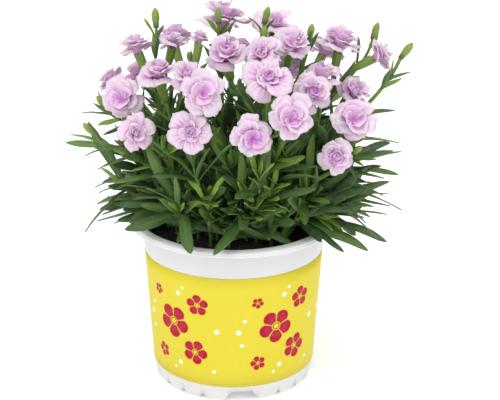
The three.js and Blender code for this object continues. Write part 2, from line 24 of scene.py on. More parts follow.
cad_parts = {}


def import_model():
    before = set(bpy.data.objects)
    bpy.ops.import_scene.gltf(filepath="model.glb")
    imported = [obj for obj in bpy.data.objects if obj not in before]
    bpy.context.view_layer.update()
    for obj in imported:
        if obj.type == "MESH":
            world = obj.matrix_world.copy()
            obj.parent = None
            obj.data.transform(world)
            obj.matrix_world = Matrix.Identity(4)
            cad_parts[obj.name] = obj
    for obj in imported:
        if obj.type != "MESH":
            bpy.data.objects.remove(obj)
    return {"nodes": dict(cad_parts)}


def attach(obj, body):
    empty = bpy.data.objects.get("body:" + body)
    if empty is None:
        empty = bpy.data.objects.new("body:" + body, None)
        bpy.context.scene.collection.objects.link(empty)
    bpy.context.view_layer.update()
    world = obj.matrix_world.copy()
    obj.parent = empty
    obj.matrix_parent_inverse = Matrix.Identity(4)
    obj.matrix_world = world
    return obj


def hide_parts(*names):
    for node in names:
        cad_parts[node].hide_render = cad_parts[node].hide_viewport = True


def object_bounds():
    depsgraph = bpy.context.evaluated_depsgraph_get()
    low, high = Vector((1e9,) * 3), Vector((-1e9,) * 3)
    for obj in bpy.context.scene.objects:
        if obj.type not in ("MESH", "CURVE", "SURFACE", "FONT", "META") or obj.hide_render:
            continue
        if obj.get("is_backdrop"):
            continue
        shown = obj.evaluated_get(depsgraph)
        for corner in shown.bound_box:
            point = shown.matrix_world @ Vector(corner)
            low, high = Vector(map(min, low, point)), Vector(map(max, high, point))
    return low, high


logging.basicConfig(level=logging.INFO, format="%(levelname)s %(message)s")
log = logging.getLogger("dianthus")

Array = np.ndarray
Span = tuple[float, float]
Spot = tuple[float, float, float]

MM = 0.001
UP = np.array([0.0, 0.0, 1.0])
TURN = 2 * math.pi
WORD = 0xFFFFFFFF
GOLDEN_ANGLE = 137.508


class Seed(IntEnum):
    """Where the runs of random numbers start. The first three are those that the solids grew from."""

    STEM = 100
    TUFT = 300
    BLOOM = 500
    FINE_PETAL = 4000
    FORK = 900
    CROWN = 5000
    SHOOT = 7000
    SPRIG = 8100
    FILLING = 77
    SKIRT = 41
    SCALE = 3
    PEAT = 4
    CRUMB = 11


# ---- vectors and random numbers ----


def place(bearing: float, reach: float, height: float = 0.0) -> Array:
    """The point at a bearing, reach from the pot's axis and height."""
    turn = math.radians(bearing)
    return np.array([reach * math.cos(turn), reach * math.sin(turn), height])


def direction(bearing: float, elevation: float) -> Array:
    """The unit vector at a bearing and elevation."""
    rise = math.radians(elevation)
    return place(bearing, math.cos(rise), math.sin(rise))


def unit(vector: Array) -> Array:
    """The vector at a length of one."""
    return vector / np.linalg.norm(vector)


def cross_axes(axis: Array) -> tuple[Array, Array]:
    """Two unit vectors square to an axis and to each other.

    Args:
        axis: The axis, a unit vector.

    Returns:
        The two vectors, the first of them level.
    """
    level = np.array([-axis[1], axis[0], 0.0])
    first = unit(level) if level @ level > 1e-4 else np.array([1.0, 0.0, 0.0])
    return first, np.cross(axis, first)


def splay(axis: Array, turn: float, opening: float = 90.0) -> tuple[Array, Array]:
    """The way out of a stem, and the way in which a leaf leads there.

    Args:
        axis: The stem's direction.
        turn: Where round the stem, in degrees.
        opening: The leaf's angle from the stem, in degrees.

    Returns:
        Both unit vectors.
    """
    level, other = cross_axes(axis)
    around, opened = math.radians(turn), math.radians(opening)
    outward = level * math.cos(around) + other * math.sin(around)
    return outward, axis * math.cos(opened) + outward * math.sin(opened)


def alternate(attempt: int, step: float) -> float:
    """A swing to either side by turns, a step wider at every second attempt."""
    return (1 if attempt % 2 else -1) * math.ceil(attempt / 2) * step


class RandomSource:
    """Seeded random numbers from 0 to 1, in the same order as those that the solids grew from."""

    def __init__(self, seed: int) -> None:
        """Starts the sequence at a seed."""
        self.state = seed & WORD

    def __call__(self) -> float:
        """Steps the sequence on.

        Returns:
            The next number.
        """
        self.state = (self.state + 0x6D2B79F5) & WORD
        mixed = (self.state ^ (self.state >> 15)) * (1 | self.state) & WORD
        mixed = (mixed + ((mixed ^ (mixed >> 7)) * (61 | mixed) & WORD) & WORD) ^ mixed
        return ((mixed ^ (mixed >> 14)) & WORD) / 4294967296

    def between(self, low: float, high: float) -> float:
        """The next number, scaled to a range."""
        return low + (high - low) * self()

    def about(self, reach: float) -> float:
        """The next number, scaled to a range round nought."""
        return self.between(-reach, reach)


@dataclass(frozen=True)
class Bezier:
    """A cubic curve that leaves one point along a direction and arrives at another along a second."""

    points: tuple[Array, Array, Array, Array]

    @staticmethod
    def between(start: Array, leaving: Array, end: Array, arriving: Array) -> Bezier:
        """The curve from a start to an end, which leaves and arrives in two unit directions."""
        span = float(np.linalg.norm(end - start))
        return Bezier((start, start + 0.4 * span * leaving, end - 0.32 * span * arriving, end))

    def point(self, share: float) -> Array:
        """The point at a share of the way."""
        (a, b, c, d), rest = self.points, 1 - share
        return rest**3 * a + 3 * rest**2 * share * b + 3 * rest * share**2 * c + share**3 * d

    def tangent(self, share: float) -> Array:
        """The unit direction of travel at a share of the way."""
        (a, b, c, d), rest = self.points, 1 - share
        return unit(rest**2 * (b - a) + 2 * rest * share * (c - b) + share**2 * (d - c))

    def at(self, share: float) -> tuple[Array, Array]:
        """The point and the direction at a share of the way."""
        return self.point(share), self.tangent(share)


# ---- node trees ----


def operation(kind: str, meaning: str, reflected: bool = False) -> Callable[..., Flow]:
    """Makes a method of Flow that adds one Math or Vector Math node.

    Args:
        kind: What the node does.
        meaning: What the method says of itself.
        reflected: Whether the method's own value comes last.

    Returns:
        The method.
    """

    def method(self: Flow, *others: Flow | float | tuple) -> Flow:
        """Adds the node.

        Args:
            others: Its other values.

        Returns:
            What the node gives.
        """
        values = (*others, self) if reflected else (self, *others)
        vector = any(v.is_vector if isinstance(v, Flow) else isinstance(v, tuple) for v in values)
        plain = (int, float) if vector else ()
        inputs = {k: (v,) * 3 if isinstance(v, plain) else v for k, v in enumerate(values)}
        node = "ShaderNodeVectorMath" if vector else "ShaderNodeMath"
        result = "Value" if kind == "DOT_PRODUCT" else 0
        return self.graph.node(node, inputs, {"operation": kind}, result)

    method.__doc__ = meaning
    return method


class Flow:
    """A number, vector or colour in a node tree: arithmetic on it adds the nodes that do it."""

    __add__ = __radd__ = operation("ADD", "The sum.")
    __sub__ = operation("SUBTRACT", "The difference.")
    __rsub__ = operation("SUBTRACT", "The difference from a plain number.", reflected=True)
    __mul__ = __rmul__ = operation("MULTIPLY", "The product, part by part.")
    __truediv__ = operation("DIVIDE", "The quotient, part by part.")
    __rtruediv__ = operation("DIVIDE", "A plain number over this one.", reflected=True)
    __pow__ = operation("POWER", "The power.")
    __abs__ = operation("ABSOLUTE", "The size without the sign.")
    root = operation("SQRT", "The square root.")
    sine = operation("SINE", "The sine of an angle in radians.")
    cosine = operation("COSINE", "The cosine of an angle in radians.")
    bearing = operation("ARCTAN2", "The bearing of a Y, with its X given, in radians.")
    part = operation("FRACT", "What is left above the whole number below.")
    least = operation("MINIMUM", "The lesser of two.")
    most = operation("MAXIMUM", "The greater of two.")
    dot = operation("DOT_PRODUCT", "The dot product.")
    cross = operation("CROSS_PRODUCT", "The cross product.")
    unit = operation("NORMALIZE", "The vector at a length of one.")

    def __init__(self, graph: Graph, socket: bpy.types.NodeSocket) -> None:
        """Wraps an output socket of a node of the graph."""
        self.graph, self.socket = graph, socket

    @property
    def is_vector(self) -> bool:
        """Whether it has three parts."""
        return self.socket.type in {"VECTOR", "RGBA"}

    def ramp(self, low: float, high: float) -> Flow:
        """A smooth step from 0 at one value to 1 at another."""
        inputs = {"Value": self, "From Min": low, "From Max": high}
        return self.graph.node("ShaderNodeMapRange", inputs, {"interpolation_type": "SMOOTHSTEP"})

    def blend(self, low: Flow | tuple, high: Flow | tuple) -> Flow:
        """Two colours mixed by this share, the first at 0 and the second at 1."""
        inputs = {"Factor": self, "A": low, "B": high}
        return self.graph.node("ShaderNodeMix", inputs, {"data_type": "RGBA"})


class Graph:
    """A node tree that is filled from expressions."""

    def __init__(self, tree: bpy.types.NodeTree) -> None:
        """Starts on an empty tree."""
        self.tree = tree

    @staticmethod
    def _pick(sockets: bpy.types.NodeInputs, key: int | str) -> bpy.types.NodeSocket:
        """The socket in use that has a place or a name."""
        used = [socket for socket in sockets if socket.enabled]
        return used[key] if isinstance(key, int) else next(s for s in used if s.name == key)

    def node(
        self, kind: str, inputs: dict | None = None, settings: dict | None = None, output: int | str = 0
    ) -> Flow:
        """Adds a node of any type.

        Args:
            kind: The node's type.
            inputs: The value or link of each input, by name or by place among those in use.
            settings: Its properties, set first; "stops" fills a colour ramp and "points" a float curve.
            output: Which output comes back.

        Returns:
            The wanted output.
        """
        made = self.tree.nodes.new(kind)
        for key, value in (settings or {}).items():
            if key == "points":
                self._shape_curve(made, value)
            elif key == "stops":
                self._shape_ramp(made, value)
            else:
                setattr(made, key, value)
        for key, value in (inputs or {}).items():
            socket = self._pick(made.inputs, key)
            if isinstance(value, Flow):
                self.tree.links.new(value.socket, socket)
            elif socket.type == "RGBA":
                socket.default_value = (*value, 1.0)
            else:
                socket.default_value = value
        return Flow(self, self._pick(made.outputs, output))

    @staticmethod
    def _shape_curve(made: bpy.types.Node, points: list[Span]) -> None:
        """Puts points on a float curve.

        Args:
            made: The node.
            points: The points, from 0 to 1 both ways.
        """
        line = made.mapping.curves[0]
        while len(line.points) < len(points):
            line.points.new(0.5, 0.5)
        for spot, at in zip(line.points, points):
            spot.location = at
        made.mapping.update()

    @staticmethod
    def _shape_ramp(made: bpy.types.Node, stops: list[tuple[float, Spot]]) -> None:
        """Puts stops on a colour ramp.

        Args:
            made: The node.
            stops: The place and colour of each stop.
        """
        elements = made.color_ramp.elements
        while len(elements) < len(stops):
            elements.new(0.5)
        for element, (at, colour) in zip(elements, stops):
            element.position, element.color = at, (*colour, 1.0)

    def curve(self, value: Flow, points: list[Span]) -> Flow:
        """A value put through a curve of points from 0 to 1."""
        return self.node("ShaderNodeFloatCurve", {"Value": value}, {"points": points})

    def split(self, vector: Flow) -> tuple[Flow, ...]:
        """The three parts of a vector."""
        first = self.node("ShaderNodeSeparateXYZ", {0: vector})
        return tuple(Flow(self, output) for output in first.socket.node.outputs)

    def join(self, x: Flow, y: Flow, z: Flow | float = 0.0) -> Flow:
        """The vector of three parts."""
        return self.node("ShaderNodeCombineXYZ", {0: x, 1: y, 2: z})

    def noise(
        self, vector: Flow, scale: float, detail: float = 2.0, bent: float = 0.0, output: int | str = 0
    ) -> Flow:
        """Smooth noise from 0 to 1 at a scale, as a number or as a colour."""
        inputs = {"Vector": vector, "Scale": scale, "Detail": detail, "Distortion": bent}
        return self.node("ShaderNodeTexNoise", inputs, output=output)


class ShaderTree(Graph):
    """A material's tree."""

    def places(self) -> Flow:
        """Object coordinates in millimetres."""
        return self.node("ShaderNodeTexCoord", output="Object") * 1000.0

    def carried(self, *names: str) -> list[Flow]:
        """Numbers that the mesh carries."""
        return [self.node("ShaderNodeAttribute", None, {"attribute_name": name}, "Fac") for name in names]

    def bump(self, height: Flow, depth: float) -> Flow:
        """A normal raised by a height, with a depth in millimetres."""
        return self.node("ShaderNodeBump", {"Height": height, "Distance": depth * MM})

    def skin(self, inputs: dict) -> Flow:
        """The shader of a surface, with the value or link of each input."""
        return self.node("ShaderNodeBsdfPrincipled", inputs)


class GrowthTree(Graph):
    """A Geometry Nodes tree with named sizes, whose start is a mesh that carries values at each point."""

    def __init__(self, name: str, sizes: dict[str, float | int]) -> None:
        """Starts the tree.

        Args:
            name: Its name.
            sizes: Its named inputs and their values.
        """
        tree = bpy.data.node_groups.new(name, "GeometryNodeTree")
        super().__init__(tree)
        tree.is_modifier = True
        tree.interface.new_socket(name="Geometry", in_out="OUTPUT", socket_type="NodeSocketGeometry")
        tree.interface.new_socket(name="Geometry", in_out="INPUT", socket_type="NodeSocketGeometry")
        self.values = {}
        for word, value in sizes.items():
            kind = "NodeSocketInt" if isinstance(value, int) else "NodeSocketFloat"
            socket = tree.interface.new_socket(name=word, in_out="INPUT", socket_type=kind)
            self.values[socket.identifier] = value
        self.entry = tree.nodes.new("NodeGroupInput")

    def size(self, word: str) -> Flow:
        """One of the named sizes, or the mesh that comes in, which is named Geometry."""
        return Flow(self, self.entry.outputs[word])

    def numbers(self, *names: str) -> list[Flow]:
        """Numbers that each point carries."""
        return [self._attribute(name, "FLOAT") for name in names]

    def vectors(self, *names: str) -> list[Flow]:
        """Vectors that each point carries."""
        return [self._attribute(name, "FLOAT_VECTOR") for name in names]

    def _attribute(self, name: str, kind: str) -> Flow:
        """Something that each point carries."""
        return self.node("GeometryNodeInputNamedAttribute", {"Name": name}, {"data_type": kind})

    def store(self, geometry: Flow, parts: dict[str, Flow]) -> Flow:
        """Gives each point of a geometry numbers.

        Args:
            geometry: The geometry.
            parts: The numbers, by name.

        Returns:
            The geometry with them.
        """
        settings = {"data_type": "FLOAT", "domain": "POINT"}
        for name, part in parts.items():
            inputs = {"Geometry": geometry, "Name": name, "Value": part}
            geometry = self.node("GeometryNodeStoreNamedAttribute", inputs, settings)
        return geometry

    def corner(self) -> tuple[Flow, ...]:
        """The three parts of a point's place."""
        return self.split(self.node("GeometryNodeInputPosition"))

    def repeat(self, template: Flow, parts: dict[str, Flow]) -> Flow:
        """Copies a template to each point that comes in, and makes the copies real.

        Args:
            template: The template.
            parts: The numbers that its points carry, by name.

        Returns:
            The copies.
        """
        inputs = {"Points": self.size("Geometry"), "Instance": self.store(template, parts)}
        copies = self.node("GeometryNodeInstanceOnPoints", inputs)
        return self.node("GeometryNodeRealizeInstances", {"Geometry": copies})

    def sheets(self, along: Callable[[Flow], Flow]) -> Flow:
        """A thin closed sheet at each point, of the tree's columns and rows.

        Args:
            along: How far along the sheet a row lies, from its even place between -0.5 and 0.5.

        Returns:
            The sheets, whose points carry how far across, along and through they lie.
        """
        grid = {"Vertices X": self.size("Columns"), "Vertices Y": self.size("Rows"), "Vertices Z": 2}
        box = self.node("GeometryNodeMeshCube", {"Size": (2.0, 1.0, 2.0), **grid})
        x, y, z = self.corner()
        return self.repeat(box, {"across": x, "along": along(y), "face": z})

    def finish(self, geometry: Flow, finish: Finish, position: Flow | None = None) -> None:
        """Ends the tree with smooth faces in a finish.

        Args:
            geometry: What it has built.
            finish: The finish.
            position: Where each point goes, if it moves.
        """
        if position:
            inputs = {"Geometry": geometry, "Position": position}
            geometry = self.node("GeometryNodeSetPosition", inputs)
        smooth = self.node("GeometryNodeSetShadeSmooth", {"Geometry": geometry})
        inputs = {"Geometry": smooth, "Material": finish.material()}
        painted = self.node("GeometryNodeSetMaterial", inputs)
        leaving = self.tree.nodes.new("NodeGroupOutput")
        self.tree.links.new(painted.socket, leaving.inputs["Geometry"])

    def grow(
        self,
        name: str,
        slot: str,
        nodes: list[str],
        carried: dict[str, Array],
        points: Array | None = None,
        edges: list[tuple[int, int]] | None = None,
    ) -> None:
        """Runs the tree on a mesh of points, and hands over the plain mesh that grows.

        Args:
            name: The piece's name.
            slot: The record's material slot.
            nodes: The solids that it stands for.
            carried: What each point carries, by name.
            points: The points in metres, if it matters where they are.
            edges: Pairs of points to join.
        """
        count = len(next(iter(carried.values())))
        mesh = bpy.data.meshes.new(name + "_bed")
        mesh.from_pydata(np.zeros((count, 3)) if points is None else points, edges or [], [])
        for word, values in carried.items():
            values = np.asarray(values, dtype=np.float32)
            kind, key = ("FLOAT", "value") if values.ndim == 1 else ("FLOAT_VECTOR", "vector")
            mesh.attributes.new(word, kind, "POINT").data.foreach_set(key, values.ravel())
        bed = linked(mesh.name, mesh)
        modifier = bed.modifiers.new("growth", "NODES")
        modifier.node_group = self.tree
        for identifier, value in self.values.items():
            modifier[identifier] = value
        grown = baked_mesh(bed, name)
        bpy.data.objects.remove(bed)
        finished(linked(name, grown), nodes)


# ---- meshes ----


def linked(name: str, data: bpy.types.ID) -> bpy.types.Object:
    """Puts a new object in the scene.

    Args:
        name: The object's name.
        data: Its mesh, light or camera.

    Returns:
        The object.
    """
    made = bpy.data.objects.new(name, data)
    bpy.context.scene.collection.objects.link(made)
    return made


def meshed(name: str, points: list[Array], faces: list[tuple[int, ...]]) -> bpy.types.Object:
    """A new smooth object.

    Args:
        name: Its name.
        points: Its points, in millimetres.
        faces: The places of each face's points, anticlockwise seen from outside.

    Returns:
        The object.
    """
    mesh = bpy.data.meshes.new(name)
    mesh.from_pydata([tuple(float(part) * MM for part in point) for point in points], [], faces)
    mesh.shade_smooth()
    return linked(name, mesh)


def baked_mesh(piece: bpy.types.Object, name: str) -> bpy.types.Mesh:
    """A piece's mesh with its modifiers applied.

    Args:
        piece: The piece.
        name: The mesh's name.

    Returns:
        The mesh.
    """
    bpy.context.view_layer.update()
    graph = bpy.context.evaluated_depsgraph_get()
    seen = piece.evaluated_get(graph)
    mesh = bpy.data.meshes.new_from_object(seen, preserve_all_data_layers=True, depsgraph=graph)
    mesh.name = name
    return mesh


def prism(points: list[Array], faces: list[tuple[int, ...]], low: list[Array], high: list[Array]) -> None:
    """Adds a closed prism to a mesh.

    Args:
        points: The mesh's points.
        faces: The mesh's faces.
        low: One end's outline.
        high: The other end's outline, anticlockwise seen from outside.
    """
    first, count = len(points), len(low)
    points.extend((*low, *high))
    faces.append(tuple(range(first + count - 1, first - 1, -1)))
    faces.append(tuple(range(first + count, first + 2 * count)))
    for n in range(count):
        here, after = first + n, first + (n + 1) % count
        faces.append((here, after, after + count, here + count))


def turned(name: str, profile: list[Span], sides: int) -> bpy.types.Object:
    """A closed body turned from a closed outline that starts and ends on the axis, or lies clear of it.

    Args:
        name: The object's name.
        profile: Pairs of radius and height, going up the outside.
        sides: How many facets go round.

    Returns:
        The object.
    """
    on_axis = profile[0][0] == 0
    rings = profile[1:-1] if on_axis else profile
    turns = [360 * k / sides for k in range(sides)]
    points = [place(turn, radius, height) for radius, height in rings for turn in turns]
    faces = []
    count = len(rings)
    for ring in range(count - 1 if on_axis else count):
        low, high = ring * sides, (ring + 1) % count * sides
        for k in range(sides):
            after = (k + 1) % sides
            faces.append((low + k, low + after, high + after, high + k))
    if on_axis:
        for (_, height), ring, step in ((profile[0], 0, -1), (profile[-1], count - 1, 1)):
            points.append(UP * height)
            for k in range(sides):
                edge = (ring * sides + k, ring * sides + (k + 1) % sides)
                faces.append((*edge[::step], len(points) - 1))
    return meshed(name, points, faces)


def rounded(corners: list[Spot], steps: int = 4) -> list[Span]:
    """An outline with its corners rounded.

    Args:
        corners: Radius, height and the corner's rounding.
        steps: How many steps go round each corner.

    Returns:
        The outline's points.
    """
    outline = []
    spots = [np.array(corner[:2]) for corner in corners]
    for k, (spot, (_, _, rounding)) in enumerate(zip(spots, corners)):
        if rounding == 0:
            outline.append(tuple(spot))
            continue
        before, after = spots[k - 1] - spot, spots[k + 1] - spot
        reach = min(rounding, 0.45 * np.linalg.norm(before), 0.45 * np.linalg.norm(after))
        start, end = spot + unit(before) * reach, spot + unit(after) * reach
        for t in np.linspace(0, 1, steps + 1):
            outline.append(tuple((1 - t) ** 2 * start + 2 * t * (1 - t) * spot + t**2 * end))
    return outline


def finished(piece: bpy.types.Object, nodes: list[str], finish: Finish | None = None) -> None:
    """Hands a piece over: it rides on the root, takes its slot and stands for its nodes.

    Args:
        piece: The piece, with its place in its mesh.
        slot: The record's material slot.
        nodes: The solids that it stands for.
        finish: Its finish, if its mesh has none yet.
    """
    if finish:
        piece.data.materials.append(finish.material())
    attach(piece, "root")
    if nodes:
        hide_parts(*nodes)
    piece.data.calc_loop_triangles()
    log.info("%s: %d triangles", piece.name, len(piece.data.loop_triangles))


# ---- finishes ----


@dataclass(frozen=True)
class Finish:
    """What every finish has: a name and a way to build its shader."""

    name: str

    def material(self) -> bpy.types.Material:
        """Builds the finish's material at its first use.

        Returns:
            The material.
        """
        if self.name in bpy.data.materials:
            return bpy.data.materials[self.name]
        made = bpy.data.materials.new(self.name)
        made.use_nodes = True
        made.node_tree.nodes.clear()
        shader = self.shade(ShaderTree(made.node_tree))
        leaving = made.node_tree.nodes.new("ShaderNodeOutputMaterial")
        made.node_tree.links.new(shader.socket, leaving.inputs["Surface"])
        return made

    def shade(self, tree: ShaderTree) -> Flow:
        """Builds the shader in a tree and gives its output."""
        raise NotImplementedError


@dataclass(frozen=True)
class MouldedPlastic(Finish):
    """Thin white polypropylene that lets a little light through."""

    name: str = "white_polypropylene"
    colour: Spot = (0.73, 0.73, 0.73)
    # The grey of the faint flow marks, also used for the painted shade.
    flow_mark_and_shade_colour: Spot = (0.60, 0.60, 0.615)

    def shade(self, tree: ShaderTree) -> Flow:
        """White plastic with faint flow marks, greyer where the peat is behind it.

        Args:
            tree: The material's tree.

        Returns:
            The shader.
        """
        spot = tree.places()
        _, _, z = tree.split(spot)
        cloud = tree.noise(spot * (1.0, 1.0, 0.35), 0.05, 3.0)
        fine = tree.noise(spot, 1.6)
        # Painted shade: a grey band below the rim, where less light comes through the wall because the peat
        # is behind it.
        shadow = z.ramp(70.0, 88.0) * (1 - z.ramp(88.0, 97.0)) * 0.6
        inputs = {
            "Base Color": (cloud * 0.4 + shadow * 0.7).blend(self.colour, self.flow_mark_and_shade_colour),
            "Roughness": fine * 0.12 + 0.36,
            "Subsurface Weight": 0.35,
            "Subsurface Scale": 1.0,
            "Subsurface Radius": (0.003, 0.003, 0.003),
            "Normal": tree.bump(cloud * 0.8 + fine * 0.06, 0.25),
        }
        return tree.skin(inputs)


class Motif(Enum):
    """The blossoms in one repeat of the band: offset along and up in millimetres, radius, turn."""

    LARGE = (-3.0, 3.5, 10.5, 0.3)
    UPPER = (13.5, 17.5, 6.6, 0.9)
    LOWER = (11.0, -13.0, 7.8, 0.1)
    SMALL = (-13.5, -18.5, 4.6, 0.6)
    BUD = (-14.5, 20.0, 3.4, 0.2)


# The dots in one repeat of the band: offset along and up in millimetres, and radius.
DOTS = (
    (-25.0, 2.0, 1.5), (-21.5, 9.0, 1.1), (-23.0, -6.5, 1.1), (24.5, 2.0, 1.5), (22.5, -24.0, 1.1),
    (0.5, -22.0, 1.4), (1.5, 22.5, 1.4), (4.5, 26.5, 0.9), (-3.5, -26.0, 0.9),
)


@dataclass(frozen=True)
class PrintedFilm(Finish):
    """Yellow printed film with plain crimson blossoms and white dots."""

    name: str = "yellow_film"
    yellow: Spot = (0.725, 0.615, 0.048)
    crimson: Spot = (0.42, 0.005, 0.036)
    pink: Spot = (0.52, 0.045, 0.075)
    white: Spot = (0.93, 0.92, 0.88)
    repeats: int = 5
    middle: float = 43.0
    radius: float = 49.2

    @staticmethod
    def blossom(along: Flow, up: Flow, motif: Motif) -> tuple[Flow, Flow]:
        """One five-petalled blossom of the print.

        Args:
            along: Place round the band within the repeat, in millimetres.
            up: Height over the band's middle.
            motif: Which blossom.

        Returns:
            Where the blossom is printed, and where its paler strokes are.
        """
        dx, dy, size, turn = motif.value
        x, y = along - dx, up - dy
        reach = (x * x + y * y).root()
        angle = y.bearing(x) + turn
        lobe = abs((angle * 2.5).cosine())
        edge = (lobe**0.55 * 0.42 + 0.58) * size
        inside = 1 - (reach - edge).ramp(-0.12, 0.12)
        eye = (reach - 0.15 * size).ramp(-0.1, 0.1)
        ring = 1 - abs(reach - 0.24 * size).ramp(0.0, 0.05 * size)
        strokes = ((angle * 40.0).sine() * 0.5 + 0.5).ramp(0.62, 0.9)
        fade = (reach / size).ramp(0.3, 0.45) * (1 - (reach / size).ramp(0.62, 0.8))
        shape = inside * lobe.ramp(0.10, 0.16) * eye * (1 - ring)
        return shape, strokes * fade * shape

    def shade(self, tree: ShaderTree) -> Flow:
        """The film's print, worked out from the bearing and height.

        Args:
            tree: The material's tree.

        Returns:
            The shader.
        """
        spot = tree.places()
        x, y, z = tree.split(spot)
        turn = y.bearing(x) / TURN + 1.06
        along = ((turn * float(self.repeats)).part() - 0.5) * (TURN * self.radius / self.repeats)
        up = z - self.middle
        shapes, strokes = zip(*(self.blossom(along, up, motif) for motif in Motif))
        ink = reduce(Flow.most, strokes).blend(self.crimson, self.pink)
        dots = []
        for dx, dy, size in DOTS:
            a, b = along - dx, up - dy
            dots.append(1 - ((a * a + b * b).root() - size).ramp(-0.1, 0.1))
        speckle = tree.noise(spot, 1.1, 3.0).ramp(0.3, 0.42) * 0.14 + 0.86
        base = (tree.noise(spot, 0.03) * 0.5).blend(self.yellow, tuple(0.93 * c for c in self.yellow))
        printed = (reduce(Flow.most, shapes) * speckle).blend(base, ink)
        inputs = {
            "Base Color": reduce(Flow.most, dots).blend(printed, self.white),
            "Roughness": tree.noise(spot, 0.2) * 0.1 + 0.42,
            "Specular IOR Level": 0.12,
            "Normal": tree.bump(tree.noise(spot, 0.08), 0.5),
        }
        return tree.skin(inputs)


@dataclass(frozen=True)
class Peat(Finish):
    """Dark, crumbly, slightly damp peat."""

    name: str = "damp_peat"
    dark: Spot = (0.0055, 0.0045, 0.0038)
    brown: Spot = (0.026, 0.019, 0.014)
    straw: Spot = (0.095, 0.070, 0.045)

    def shade(self, tree: ShaderTree) -> Flow:
        """Dark crumbs with brown fibres and a little damp gloss.

        Args:
            tree: The material's tree.

        Returns:
            The shader.
        """
        spot = tree.places()
        grain = tree.noise(spot, 0.9, 6.0)
        patch = tree.noise(spot, 0.16, 3.0)
        fibre = tree.noise(spot * (1.0, 3.0, 1.0), 0.8, 4.0, 1.2)
        colour = (grain * 0.55 + patch * 0.45).ramp(0.38, 0.68).blend(self.dark, self.brown)
        inputs = {
            "Base Color": (fibre.ramp(0.66, 0.74) * 0.55).blend(colour, self.straw),
            "Roughness": patch * 0.35 + 0.62,
            "Normal": tree.bump(grain + fibre * 0.5, 0.9),
        }
        return tree.skin(inputs)


@dataclass(frozen=True)
class LeafSkin(Finish):
    """Narrow waxy leaves: dark and bluish when old, bright when young, with a paler midrib."""

    name: str = "leaf_green"
    old: Spot = (0.022, 0.056, 0.011)
    middle: Spot = (0.054, 0.128, 0.017)
    young: Spot = (0.225, 0.400, 0.034)
    wax: Spot = (0.105, 0.170, 0.082)
    rib: Spot = (0.185, 0.310, 0.080)

    def shade(self, tree: ShaderTree) -> Flow:
        """Green by age, paler at the base, along the midrib and where the wax is thick.

        Args:
            tree: The material's tree.

        Returns:
            The shader.
        """
        spot = tree.places()
        along, across, tone, face = tree.carried("along", "across", "tone", "face")
        mottle = tree.noise(spot, 0.22, 4.0)
        fine = tree.noise(spot, 2.4, 3.0)
        age = (tone + (mottle - 0.5) * 0.35 + (along - 0.5) * 0.12).most(0.0).least(1.0)
        stops = [(0.0, self.old), (0.45, self.middle), (1.0, self.young)]
        colour = tree.node("ShaderNodeValToRGB", {0: age}, {"stops": stops})
        rib = 1 - abs(across).ramp(0.02, 0.16)
        lines = ((across * 24.0).sine() * 0.5 + 0.5) * 0.10
        colour = (rib * 0.34 * (1 - along * 0.7) + lines * fine).blend(colour, self.rib)
        colour = ((1 - along.ramp(0.0, 0.16)) * 0.5).blend(colour, self.rib)
        under = (1 - face.ramp(-0.4, 0.4)) * 0.55
        bloom = mottle.ramp(0.42, 0.72) * (1 - tone) * 0.34
        ridge = (1 - abs(across).ramp(0.0, 0.22)) * -0.8 + lines * 1.2 + fine * 0.25
        inputs = {
            "Base Color": (under + bloom).least(0.8).blend(colour, self.wax),
            "Roughness": mottle * 0.18 + 0.40,
            "Subsurface Weight": 0.10,
            "Subsurface Radius": (0.0008, 0.0014, 0.0004),
            "Coat Weight": (1 - mottle) * 0.10,
            "Normal": tree.bump(ridge, 0.22),
        }
        return tree.skin(inputs)


@dataclass(frozen=True)
class GreenSkin(Finish):
    """Stems, calyces and buds: smooth, waxy and a little yellow where they are young."""

    name: str = "stem_green"
    deep: Spot = (0.052, 0.118, 0.016)
    fresh: Spot = (0.185, 0.300, 0.036)
    pale: Spot = (0.340, 0.420, 0.115)

    def shade(self, tree: ShaderTree) -> Flow:
        """Green by tone, with fine lengthwise ribs and pale rims.

        Args:
            tree: The material's tree.

        Returns:
            The shader.
        """
        spot = tree.places()
        tone, rim, ribs = tree.carried("tone", "rim", "ribs")
        mottle = tree.noise(spot * (1.0, 1.0, 0.4), 0.5, 4.0)
        colour = (tone + (mottle - 0.5) * 0.4).most(0.0).least(1.0).blend(self.deep, self.fresh)
        inputs = {
            "Base Color": (ribs * 0.25 + rim * 0.75).least(1.0).blend(colour, self.pale),
            "Roughness": mottle * 0.16 + 0.42,
            "Subsurface Weight": 0.08,
            "Subsurface Radius": (0.001, 0.0015, 0.0005),
            "Normal": tree.bump(ribs + mottle * 0.3, 0.15),
        }
        return tree.skin(inputs)


